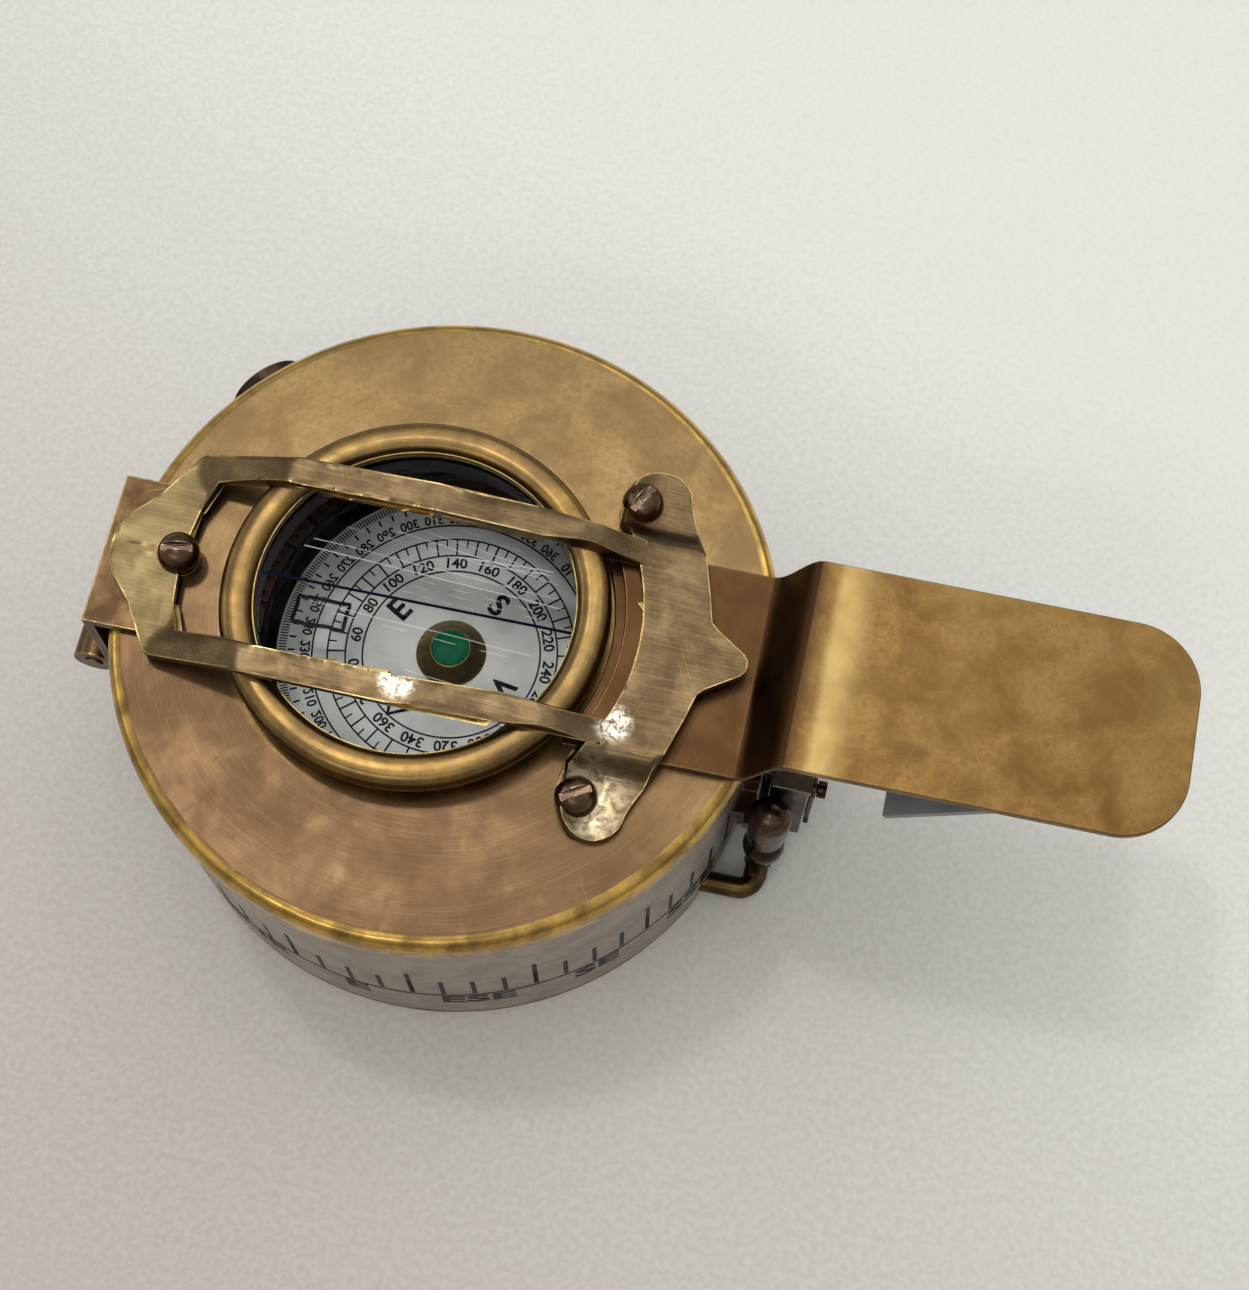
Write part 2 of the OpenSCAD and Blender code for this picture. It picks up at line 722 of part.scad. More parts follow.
// plan of the tongue with a hollow inner end that follows the window collar
module tongue_plan() {
    difference() {
        union() {
            translate([root_x, -tongue_half]) square([tongue_reach - corner_r - root_x, tongue_w]);
            translate([root_x, corner_r - tongue_half]) square([tongue_reach - root_x, tongue_w - 2 * corner_r]);
            for (side = [-1, 1]) translate([tongue_reach - corner_r, side * (tongue_half - corner_r)])
                circle(r = corner_r, $fn = mid);
        }
        translate([-window_off, 0]) circle(r = root_arc, $fn = fine);
    }
}

// underside of the tongue's crank, an S-curve between its two levels
function crank_point(s) = [crank_x + crank_run * s, root_z + crank_h * (1 - cos(180 * s)) / 2];

module tongue() {
    line = concat([[root_x, root_z]], [for (i = [0:8]) crank_point(i / 8)], [[tongue_reach + tongue_t, blade_z]]);
    color([0.55, 0.43, 0.25]) intersection() {
        profile_y(sheet(line, tongue_t), -tongue_half - 1, tongue_half + 1);
        translate([0, 0, root_z - tongue_t]) linear_extrude(crank_h + 3 * tongue_t) tongue_plan();
    }
}

module tongue_packing() {
    width = tongue_w - 2 * packing_inset;
    color([0.50, 0.40, 0.24]) translate([-window_off, 0, root_z + tongue_t]) intersection() {
        ring(anchor_arc + packing_w, packing_arc, packing_t);
        translate([0, -width / 2, -packing_t]) cube([lid_r, width, 3 * packing_t]);
    }
}

module leaf() {
    color([0.58, 0.58, 0.57]) translate([leaf_x, 0, leaf_pivot_z]) rotate([0, -leaf_angle, 0]) difference() {
        union() {
            rod_y(-leaf_barrel_w / 2, leaf_barrel_w / 2, leaf_barrel_r);
            translate([-leaf_len, -leaf_w / 2, -leaf_sheet / 2])
                cube([leaf_len - leaf_barrel_r - 0.4, leaf_w, leaf_sheet]);
            translate([-leaf_len, -leaf_barrel_w / 2, -leaf_sheet / 2]) cube([leaf_len, leaf_barrel_w, leaf_sheet]);
        }
        rod_y(-leaf_w, leaf_w, leaf_pin_r + run_fit);
    }
}

module leaf_bracket() {
    ear_in = leaf_barrel_w / 2 + 0.2;
    color([0.50, 0.40, 0.24]) difference() {
        union() {
            both_sides() translate([leaf_x, 0, leaf_pivot_z]) rod_y(ear_in, ear_in + ear_t, leaf_barrel_r);
            both_sides() translate([leaf_x - leaf_barrel_r, ear_in, leaf_pivot_z])
                cube([leaf_barrel_d, ear_t, blade_z - leaf_pivot_z]);
        }
        translate([leaf_x, 0, leaf_pivot_z]) rod_y(-leaf_w, leaf_w, leaf_pin_r);
    }
}

module leaf_pin() {
    half = leaf_barrel_w / 2 + 0.2 + ear_t;
    color([0.62, 0.60, 0.56]) translate([leaf_x, 0, leaf_pivot_z]) rod_y(-half, half, leaf_pin_r);
}

module prism_bracket() {
    low = 4;
    high = fold_z - fold_r - 0.5;
    half = post_y - bead_r - move_gap;
    color([0.24, 0.19, 0.13]) difference() {
        union() {
            translate([bracket_x - 3, -half, low]) cube([3, 2 * half, high - low]);
            translate([bracket_x - 3, -post_y, boss_foot + 0.4]) cube([3, 2 * post_y, boss_top - boss_foot - 0.8]);
            both_sides() translate([boss_x, post_y, 0]) {
                rotate_extrude($fn = mid) {
                    translate([0, boss_foot]) square([boss_r, boss_top - boss_foot]);
                    intersection() {
                        translate([0, boss_top]) circle(r = boss_r, $fn = mid);
                        translate([0, boss_foot]) square([boss_r, boss_r + boss_top]);
                    }
                }
                translate([bracket_x - boss_x - 1, -1, boss_foot + 0.4])
                    cube([boss_x - bracket_x + 1, 2, boss_top - boss_foot - 0.8]);
            }
        }
        translate([0, 0, low - 1]) cylinder(r = band_r, h = high - low + 2, $fn = fine);
        for (z = guide_z) translate([0, 0, z]) rod_x(band_r - 1, bracket_x + 1, guide_r - 0.2);
        both_sides() translate([boss_x, post_y, boss_foot - 1]) cylinder(r = stud_r, h = stud_h + 1, $fn = mid);
    }
}

module slide_screws() {
    color([0.60, 0.58, 0.54]) for (z = guide_z) translate([0, 0, z]) {
        rod_x(band_r + 0.1, bracket_x, guide_r - 0.2);
        rod_x(bracket_x, slide_x + slide_t + 0.1, guide_r);
        rod_x(slide_x + slide_t + 0.1, slide_x + slide_t + 0.6, guide_head_r);
    }
}

module prism_slide() {
    slot_r = guide_r + run_fit;
    color([0.50, 0.40, 0.24]) difference() {
        union() {
            translate([slide_x, -slide_half, slide_low]) cube([slide_t, 2 * slide_half, slide_top - slide_low]);
            translate([slide_x, -slide_half, slide_top - 1]) cube([slide_t, 2 * slide_half, fold_z - slide_top + 1]);
            translate([fold_x, 0, fold_z]) rod_y(-slide_half, slide_half, fold_r);
        }
        for (z = guide_z) {
            translate([0, 0, z]) rod_x(slide_x - 1, slide_x + 2, slot_r);
            translate([0, 0, z - focus_travel]) rod_x(slide_x - 1, slide_x + 2, slot_r);
            translate([slide_x - 1, -slot_r, z - focus_travel]) cube([3, 2 * slot_r, focus_travel]);
        }
        translate([slide_x - 3, -fold_mid / 2 - 0.2, fold_z - fold_r - 1.6]) cube([6, fold_mid + 0.4, 6]);
        translate([fold_x, 0, fold_z]) rod_y(-10, 10, fold_pin_r);
    }
}

module prism_pin() {
    color([0.62, 0.60, 0.56]) translate([fold_x, 0, fold_z]) rod_y(-slide_half - 0.3, slide_half + 0.3, fold_pin_r);
}

module prism_box() {
    inside = prism_d - prism_wall;
    color([0.55, 0.53, 0.50]) difference() {
        translate([prism_x, -prism_half, prism_z]) cube([prism_d, prism_w, prism_h]);
        translate([prism_x - 1, prism_wall - prism_half, prism_z + prism_wall])
            cube([inside + 1, prism_w - 2 * prism_wall, prism_h - 2 * prism_wall]);
        translate([0, 0, lens_z]) rod_x(prism_x, prism_out + 1, lens_r);
        translate([0, lever_y, lever_z]) rod_x(prism_out - 1, prism_out + 1, 0.5);
    }
}

module prism_cap() {
    arm_back = fold_x;
    color([0.47, 0.30, 0.18]) difference() {
        union() {
            translate([prism_x, -prism_half - 0.2, prism_top]) cube([prism_d + 0.2, prism_w + 0.4, cap_t]);
            translate([arm_back, -fold_mid / 2, prism_top]) cube([prism_x - arm_back + 1, fold_mid, fold_z - prism_top]);
            translate([fold_x, 0, fold_z]) rod_y(-fold_mid / 2, fold_mid / 2, fold_r);
        }
        translate([fold_x, 0, fold_z]) rod_y(-10, 10, fold_pin_r + run_fit);
    }
}

// wedge of glass that turns the view of the card towards the eye
module prism() {
    back = slide_x + slide_t + 0.8;
    front = prism_out - prism_wall - 0.1;
    low = prism_z + prism_wall + 0.1;
    high = prism_top - prism_wall - 0.1;
    half = prism_half - prism_wall - 0.1;
    color([0.80, 0.88, 0.90, 0.35]) profile_y([[back, high], [front, high], [front, low], [front - 0.5, low]], -half, half);
}

module eye_lens() {
    color([0.85, 0.90, 0.92, 0.35]) translate([0, 0, lens_z]) rod_x(prism_out - prism_wall, prism_out, lens_r);
}

module shade_lever() {
    x = prism_out + 0.2;
    color([0.16, 0.13, 0.10]) translate([x, lever_y, lever_z]) difference() {
        union() {
            rod_x(0, lever_t, lever_r);
            translate([0, -0.6, -lever_len]) cube([lever_t, 1.2, lever_len]);
            translate([0, 0, -lever_len]) rod_x(0, lever_t, 0.9);
        }
        rod_x(-1, 2, 0.5 + run_fit);
    }
}

module lever_screw() {
    x = prism_out + 0.2;
    color([0.20, 0.16, 0.12]) translate([0, lever_y, lever_z]) {
        rod_x(prism_out - prism_wall + 0.1, x + lever_t + 0.2, 0.5);
        rod_x(x + lever_t + 0.1, x + lever_t + 1, 0.9);
    }
}

module ring_posts() {
    eye_top = ring_z + eye_r;
    mid_z = (bead_z[0] + bead_z[1]) / 2;
    half_h = (bead_z[1] - bead_z[0]) / 2;
    swell = bead_r - neck_r;
    bead_arc = (half_h * half_h + swell * swell) / (2 * swell);
    color([0.50, 0.33, 0.20]) both_sides() difference() {
        union() {
            translate([boss_x, post_y, 0]) rotate_extrude($fn = mid) {
                translate([0, collar_z]) square([boss_r - 0.22, boss_foot - collar_z]);
                translate([0, bead_z[1] - 0.2]) square([neck_r + 0.25, collar_z - bead_z[1] + 0.4]);
                translate([0, boss_foot - 0.1]) square([stud_r, stud_h]);
                translate([0, eye_top - 0.6]) square([neck_r, bead_z[0] - eye_top + 1]);
                intersection() {
                    translate([bead_r - bead_arc, mid_z]) circle(r = bead_arc, $fn = fine);
                    translate([0, bead_z[0]]) square([bead_r, bead_z[1] - bead_z[0]]);
                }
            }
            translate([ring_x, 0, ring_z]) rod_y(post_foot[0], post_foot[1], eye_r);
        }
        translate([ring_x, 0, ring_z]) rod_y(0, ring_half, rivet_r);
        translate([ring_x - 3, post_foot[1], 0]) cube([6, 3, eye_top + 0.1]);
        translate([ring_x - 3, post_foot[0] - 3, 0]) cube([6, 3, eye_top + 0.1]);
    }
}

// quarter or half turn of level wire, cut from a full ring by the plan of what stays
module wire_arc(r, keep) {
    intersection() {
        rotate_extrude($fn = fine) translate([r, 0]) circle(r = wire_r, $fn = mid);
        translate([0, 0, -wire_r - 1]) linear_extrude(ring_wire + 2) polygon(keep);
    }
}

module thumb_ring() {
    round_x = ring_x - ring_reach + ring_half;
    elbow_x = ring_x - elbow_r;
    elbow_y = ring_half - elbow_r;
    far = 2 * ring_half;
    color([0.45, 0.36, 0.20]) difference() {
        union() {
            translate([round_x, 0, ring_z]) wire_arc(ring_half, [[0, -far], [0, far], [-far, far], [-far, -far]]);
            both_sides() {
                translate([0, ring_half, ring_z]) rod_x(round_x, elbow_x, wire_r);
                translate([elbow_x, elbow_y, ring_z]) wire_arc(elbow_r, [[0, 0], [far, 0], [far, far], [0, far]]);
                translate([ring_x, 0, ring_z]) rod_y(ring_eye_in, elbow_y + 0.3, ring_end_r);
            }
        }
        both_sides() translate([ring_x, 0, ring_z]) rod_y(ring_eye_in - 1, bore_end, rivet_r + run_fit);
    }
}

module ring_rivets() {
    color([0.50, 0.33, 0.20]) both_sides() translate([ring_x, 0, ring_z])
        rod_y(post_foot[0], bore_end - seat_gap, rivet_r);
}

case();
scale_band();
pivot_post();
pivot_pin();
compass_card();
card_magnets();
jewel_cap();
jewel();
bezel();
case_glass();
glass_gasket();
glass_ring();
index_box();
clamp_bush();
clamp_screw();
hinge_case_leaf();
hinge_pin();
hinge_lid_leaf();
lid_shell();
lid_glass();
lid_glass_ring();
hairline();
guard_frame();
guard_screw_left();
guard_screw_front();
guard_screw_back();
tongue();
tongue_packing();
leaf();
leaf_bracket();
leaf_pin();
prism_bracket();
slide_screws();
prism_slide();
prism_pin();
prism_box();
prism_cap();
prism();
eye_lens();
shade_lever();
lever_screw();
ring_posts();
thumb_ring();
ring_rivets();
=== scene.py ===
"""Looks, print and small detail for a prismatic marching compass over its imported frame.

The solids carry the sizes. This file gives each piece its finish, puts turned, folded and
softened copies in the place of the plainest solids, and prints the dial and the scale band.
Lengths in the fields below are millimetres, and angles are degrees.
"""

import logging
import math
from dataclasses import dataclass
from enum import Enum
from typing import Any, Callable, Iterable, Sequence

import bmesh
import bpy
from mathutils import Matrix, Vector, noise
from mathutils.geometry import delaunay_2d_cdt


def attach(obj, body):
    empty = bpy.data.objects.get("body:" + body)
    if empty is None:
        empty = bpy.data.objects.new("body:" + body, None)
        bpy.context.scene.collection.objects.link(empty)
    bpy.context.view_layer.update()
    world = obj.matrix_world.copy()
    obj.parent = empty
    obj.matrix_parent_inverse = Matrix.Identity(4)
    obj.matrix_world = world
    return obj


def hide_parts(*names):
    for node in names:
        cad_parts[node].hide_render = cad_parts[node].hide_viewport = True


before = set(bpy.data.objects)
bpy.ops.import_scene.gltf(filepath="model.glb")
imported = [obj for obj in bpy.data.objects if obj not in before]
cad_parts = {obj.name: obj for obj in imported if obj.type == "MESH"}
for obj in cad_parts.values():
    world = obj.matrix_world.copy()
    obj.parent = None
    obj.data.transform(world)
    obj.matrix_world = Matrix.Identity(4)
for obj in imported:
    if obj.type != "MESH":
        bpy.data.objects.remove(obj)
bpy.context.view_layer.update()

log = logging.getLogger("compass")
MM = 0.001
Colour = tuple[float, float, float]
Point = tuple[float, float]


def shade(red: float, green: float, blue: float) -> Colour:
    """Turn a colour as a screen shows it into the linear colour that a shader takes.

    Args:
        red: Red from 0 to 255.
        green: Green from 0 to 255.
        blue: Blue from 0 to 255.

    Returns:
        The linear colour, each part from 0 to 1.
    """
    parts = [value / 255 for value in (red, green, blue)]
    return tuple(v / 12.92 if v <= 0.04045 else ((v + 0.055) / 1.055) ** 2.4 for v in parts)


class Sheet:
    """A node tree with short calls for placing and wiring nodes."""

    def __init__(self, tree: bpy.types.NodeTree) -> None:
        """Take the tree that the nodes go into."""
        self.tree = tree

    def feed(self, node: bpy.types.Node, inputs: dict[Any, Any]) -> None:
        """Give a node's inputs plain values or other nodes' outputs.

        Args:
            node: The node.
            inputs: The value or the wire, by input name or number.
        """
        for name, value in inputs.items():
            if isinstance(value, bpy.types.NodeSocket):
                self.tree.links.new(value, node.inputs[name])
            else:
                node.inputs[name].default_value = value

    def add(self, kind: str, inputs: dict[Any, Any] | None = None, **settings: Any) -> bpy.types.Node:
        """Place a node, set it up and feed its inputs.

        Args:
            kind: The node's type name.
            inputs: Values or other nodes' outputs, by input name or number.
            settings: The node's own properties.

        Returns:
            The new node.
        """
        node = self.tree.nodes.new(kind)
        for name, value in settings.items():
            setattr(node, name, value)
        self.feed(node, inputs or {})
        return node

    def group(self, tree: bpy.types.NodeTree, **inputs: Any) -> bpy.types.NodeSocket:
        """Place a group with its values or wires and give its first output."""
        return self.add("ShaderNodeGroup", inputs, node_tree=tree).outputs[0]

    def maths(self, how: str, first: Any, second: Any = 0.0, third: Any = 0.0) -> bpy.types.NodeSocket:
        """Work out a value from up to three others and give its output."""
        return self.add("ShaderNodeMath", {0: first, 1: second, 2: third}, operation=how).outputs[0]

    def times(self, first: Any, second: Any) -> bpy.types.NodeSocket:
        """Multiply two values."""
        return self.maths("MULTIPLY", first, second)

    def length(self, where: Any) -> bpy.types.NodeSocket:
        """Give how far a place is from the origin."""
        return self.add("ShaderNodeVectorMath", {0: where}, operation="LENGTH").outputs["Value"]

    def split(self, where: Any) -> Sequence[bpy.types.NodeSocket]:
        """Give the X, Y and Z of a place."""
        return self.add("ShaderNodeSeparateXYZ", {0: where}).outputs

    def join(self, *parts: Any) -> bpy.types.NodeSocket:
        """Give the place that has these as its X, Y and Z."""
        return self.add("ShaderNodeCombineXYZ", dict(enumerate(parts))).outputs[0]

    def moved(self, where: Any, **change: Any) -> bpy.types.NodeSocket:
        """Give a place after the Location, Rotation or Scale of a mapping."""
        return self.add("ShaderNodeMapping", {"Vector": where, **change}).outputs[0]

    def noise(self, where: Any, scale: Any, detail: float, **more: float) -> bpy.types.NodeSocket:
        """Give noise over a place; more holds other inputs of the noise node."""
        inputs = {"Vector": where, "Scale": scale, "Detail": detail, **more}
        return self.add("ShaderNodeTexNoise", inputs).outputs[0]

    def bump(self, height: Any, strength: float, depth: float, **under: Any) -> bpy.types.NodeSocket:
        """Give the normal of a relief of a depth in millimetres, over the normal under it if any."""
        inputs = {"Height": height, "Strength": strength, "Distance": depth * MM, **under}
        return self.add("ShaderNodeBump", inputs).outputs[0]

    def between(self, amount: Any, first: Any, second: Any) -> bpy.types.NodeSocket:
        """Mix two colours by an amount and give the output.

        Args:
            amount: How much of the second colour, from 0 to 1, or the wire that gives it.
            first: The first colour, or its wire.
            second: The second colour, or its wire.

        Returns:
            The wire of the mixed colour.
        """
        pair = [part if isinstance(part, bpy.types.NodeSocket) else (*part, 1) for part in (first, second)]
        node = self.add("ShaderNodeMix", {0: amount, 6: pair[0], 7: pair[1]}, data_type="RGBA")
        return node.outputs[2]

    def window(
        self, value: Any, low: Any, high: Any, bottom: float = 0.0, top: float = 1.0
    ) -> bpy.types.NodeSocket:
        """Stretch the part of a value between low and high smoothly over bottom to top."""
        inputs = {"Value": value, "From Min": low, "From Max": high, "To Min": bottom, "To Max": top}
        return self.add("ShaderNodeMapRange", inputs, interpolation_type="SMOOTHSTEP").outputs[0]


def new_material(name: str) -> tuple[bpy.types.Material, Sheet, bpy.types.Node, bpy.types.NodeSocket]:
    """Start a material.

    Args:
        name: The material's name.

    Returns:
        The material, its sheet, its surface shader and the place on the piece.
    """
    material = bpy.data.materials.new(name)
    material.use_nodes = True
    sheet = Sheet(material.node_tree)
    where = sheet.add("ShaderNodeTexCoord").outputs["Object"]
    return material, sheet, material.node_tree.nodes["Principled BSDF"], where


class Effects:
    """The shader node groups that several finishes share, each built once."""

    def __init__(self) -> None:
        """Build every group."""
        self.wear = self._edge_wear()
        self.clouds = self._clouds()
        self.turning = self._turning()
        self.brushing = self._brushing()
        self.scratches = self._scratches()

    def cloud(
        self, sheet: Sheet, where: Any, size: float, cover: float, softness: float
    ) -> bpy.types.NodeSocket:
        """Place the soft blotches in a material.

        Args:
            sheet: The material's nodes.
            where: The place on the piece.
            size: Size of the blotches in millimetres.
            cover: How much of the piece they cover, from 0 to 1.
            softness: How soft their edges are.

        Returns:
            The mask, from 0 to 1.
        """
        return sheet.group(self.clouds, Vector=where, Size=size * MM, Cover=cover, Softness=softness)

    @staticmethod
    def _new(
        name: str, sizes: dict[str, float], output: str
    ) -> tuple[Sheet, Sequence[bpy.types.NodeSocket], bpy.types.Node]:
        """Start a group that reads a place and some sizes and gives one value.

        Args:
            name: The group's name.
            sizes: Each size that a material can set, with its usual value.
            output: The name of the value that the group gives.

        Returns:
            The group's sheet, the outputs of its input node, and its output node.
        """
        tree = bpy.data.node_groups.new(name, "ShaderNodeTree")
        tree.interface.new_socket(name="Vector", in_out="INPUT", socket_type="NodeSocketVector")
        for label, usual in sizes.items():
            socket = tree.interface.new_socket(name=label, in_out="INPUT", socket_type="NodeSocketFloat")
            socket.default_value = usual
        tree.interface.new_socket(name=output, in_out="OUTPUT", socket_type="NodeSocketFloat")
        sheet = Sheet(tree)
        return sheet, sheet.add("NodeGroupInput").outputs, sheet.add("NodeGroupOutput")

    def _edge_wear(self) -> bpy.types.NodeTree:
        """Mask of the corners where handling has worn the finish off.

        Returns:
            The group.
        """
        sheet, given, out = self._new("edge_wear", {"Width": 0.0003, "Amount": 1.0}, "Wear")
        rounded = sheet.add("ShaderNodeBevel", {"Radius": given["Width"]}, samples=6).outputs[0]
        real = sheet.add("ShaderNodeNewGeometry").outputs["Normal"]
        dot = sheet.add("ShaderNodeVectorMath", {0: rounded, 1: real}, operation="DOT_PRODUCT")
        corner = sheet.window(dot.outputs["Value"], 0.995, 0.86)
        broken = sheet.window(sheet.noise(given["Vector"], 900.0, 3.0), 0.25, 0.6, 0.35, 1)
        sheet.feed(out, {"Wear": sheet.times(sheet.times(corner, broken), given["Amount"])})
        return sheet.tree

    def _clouds(self) -> bpy.types.NodeTree:
        """Mask of soft blotches, as a stain or a patina makes them.

        Returns:
            The group.
        """
        sizes = {"Size": 0.01, "Cover": 0.5, "Softness": 0.15}
        sheet, given, out = self._new("clouds", sizes, "Mask")
        scale = sheet.maths("DIVIDE", 1.0, given["Size"])
        cloud = sheet.noise(given["Vector"], scale, 6.0, Roughness=0.62, Distortion=0.4)
        middle = sheet.maths("SUBTRACT", 1.0, given["Cover"])
        low = sheet.maths("SUBTRACT", middle, given["Softness"])
        high = sheet.maths("ADD", middle, given["Softness"])
        sheet.feed(out, {"Mask": sheet.window(cloud, low, high)})
        return sheet.tree

    def _turning(self) -> bpy.types.NodeTree:
        """Height of fine rings round Z, as a lathe leaves them.

        Returns:
            The group.
        """
        sheet, given, out = self._new("turning_marks", {"Pitch": 0.0004}, "Height")
        x, y, _ = sheet.split(given["Vector"])
        rings = sheet.maths("DIVIDE", sheet.length(sheet.join(x, y)), given["Pitch"])
        place = sheet.join(rings, sheet.times(x, 120.0), sheet.times(y, 120.0))
        sheet.feed(out, {"Height": sheet.noise(place, 1.0, 2.0, Roughness=0.7)})
        return sheet.tree

    def _brushing(self) -> bpy.types.NodeTree:
        """Height of fine lines along X that waver a little.

        Returns:
            The group.
        """
        sizes = {"Pitch": 0.0003, "Length": 0.006, "Waver": 0.0004}
        sheet, given, out = self._new("brush_marks", sizes, "Height")
        x, y, z = sheet.split(given["Vector"])
        bend = sheet.noise(given["Vector"], 260.0, 1.0)
        wavering = sheet.maths("MULTIPLY_ADD", bend, given["Waver"], y)
        along = sheet.maths("DIVIDE", x, given["Length"])
        across = sheet.maths("DIVIDE", wavering, given["Pitch"])
        up = sheet.maths("DIVIDE", z, given["Pitch"])
        marks = sheet.noise(sheet.join(along, across, up), 1.0, 2.5, Roughness=0.65)
        sheet.feed(out, {"Height": marks})
        return sheet.tree

    def _scratches(self) -> bpy.types.NodeTree:
        """Mask of thin scratches in four directions.

        Returns:
            The group.
        """
        sheet, given, out = self._new("scratches", {"Width": 0.00012, "Amount": 0.3}, "Mask")
        total = None
        for turn, offset in ((0.6, 0.0), (-0.35, 0.013), (1.9, 0.031), (1.1, 0.047)):
            turned = sheet.moved(given["Vector"], Rotation=(0, 0, turn), Location=(offset, offset, 0))
            x, y, _ = sheet.split(turned)
            across = sheet.maths("DIVIDE", y, given["Width"])
            across = sheet.maths("MULTIPLY_ADD", sheet.noise(turned, 60.0, 1.0), 3.0, across)
            place = sheet.join(sheet.maths("DIVIDE", x, 0.009), across)
            line = sheet.window(sheet.noise(place, 1.0, 0.0), 0.8, 0.88)
            total = line if total is None else sheet.maths("MAXIMUM", total, line)
        sheet.feed(out, {"Mask": sheet.times(total, given["Amount"])})
        return sheet.tree


class Grain(Enum):
    """How the surface of a metal piece was worked."""

    TURNED = "turned on a lathe"
    BRUSHED = "brushed along the piece"
    PLAIN = "only handled"


@dataclass(frozen=True)
class Metal:
    """A metal finish: a body colour, stains over it and brighter metal where it is worn.

    Lengths are millimetres. Depth is that of the tool marks in the surface.
    """

    name: str
    body: Colour
    stain: Colour
    worn: Colour
    roughness: float = 0.35
    least_rough: float = 0.1
    polish: float = 0.14
    stain_size: float = 7.0
    stain_cover: float = 0.5
    stain_softness: float = 0.16
    stain_share: float = 0.85
    wear_width: float = 0.3
    wear: float = 0.8
    grain: Grain = Grain.PLAIN
    pitch: float = 0.35
    depth: float = 0.004
    shine: float = 0.2
    scratch: float = 0.25
    scratch_width: float = 0.09
    speck: float = 0.35
    speck_size: float = 0.7
    speck_cover: float = 0.45
    speck_softness: float = 0.16
    dent_depth: float = 0.012
    turn: float = 0.0
    streak: float = 0.0

    def make(self, effects: Effects) -> bpy.types.Material:
        """Build the material.

        Args:
            effects: The node groups that finishes share.

        Returns:
            The material.
        """
        material, sheet, surface, where = new_material(self.name)
        turned = sheet.moved(where, Rotation=(0, 0, math.radians(-self.turn)))
        stains = effects.cloud(sheet, where, self.stain_size, self.stain_cover, self.stain_softness)
        specks = effects.cloud(sheet, where, self.speck_size, self.speck_cover, self.speck_softness)
        colour = sheet.between(sheet.times(stains, self.stain_share), self.body, self.stain)
        colour = sheet.between(sheet.times(specks, self.speck), colour, self.stain)
        colour, polished = self.tint(sheet, effects, where, colour)
        marks = self.marks(sheet, effects, turned)
        normal = sheet.bump(sheet.noise(where, 420.0, 3.0), 0.35, self.dent_depth)
        if marks is not None:
            colour = sheet.between(sheet.window(marks, 0.42, 0.78, 0, self.shine), colour, self.worn)
            normal = sheet.bump(marks, 0.7, self.depth, Normal=normal)
        wear = sheet.group(effects.wear, Vector=where, Width=self.wear_width * MM, Amount=self.wear)
        cuts = sheet.group(
            effects.scratches, Vector=where, Width=self.scratch_width * MM, Amount=self.scratch
        )
        colour = sheet.between(sheet.maths("MAXIMUM", wear, cuts), colour, self.worn)
        smooth = sheet.maths("MAXIMUM", wear, polished)
        rough = sheet.maths("MULTIPLY_ADD", stains, 0.1, self.roughness - 0.03)
        rough = sheet.maths("MULTIPLY_ADD", smooth, -self.polish, rough)
        rough = sheet.maths("MAXIMUM", rough, self.least_rough)
        sheet.feed(surface, {"Base Color": colour, "Metallic": 1.0, "Roughness": rough, "Normal": normal})
        if self.streak:
            tangent = sheet.add("ShaderNodeTangent", direction_type="RADIAL", axis="Z").outputs[0]
            sheet.feed(surface, {"Anisotropic": self.streak, "Tangent": tangent})
        return material

    def tint(self, sheet: Sheet, effects: Effects, where: Any, colour: Any) -> tuple[Any, Any]:
        """Give the colour and no extra polish; a finish with zones of its own changes both here."""
        return colour, 0.0

    def marks(self, sheet: Sheet, effects: Effects, where: Any) -> Any:
        """Give the height of the tool marks, or None for a piece without them.

        Args:
            sheet: The material's nodes.
            effects: The node groups that finishes share.
            where: The place on the piece, turned to the direction of the marks.

        Returns:
            The height, or None.
        """
        groups = {Grain.TURNED: effects.turning, Grain.BRUSHED: effects.brushing}
        if self.grain not in groups:
            return None
        return sheet.group(groups[self.grain], Vector=where, Pitch=self.pitch * MM)

    @staticmethod
    def round_mask(sheet: Sheet, where: Any, centre: Point, start: float, end: float) -> Any:
        """Mask that rises from one radius to another about an upright axis.

        Args:
            sheet: The material's nodes.
            where: The place on the piece.
            centre: Where the axis stands, in millimetres.
            start: Radius with no effect.
            end: Radius with the full effect.

        Returns:
            The mask, from 0 to 1.
        """
        shift = (-centre[0] * MM, -centre[1] * MM, 0)
        flat = sheet.moved(where, Location=shift, Scale=(1, 1, 0))
        return sheet.window(sheet.length(flat), start * MM, end * MM)


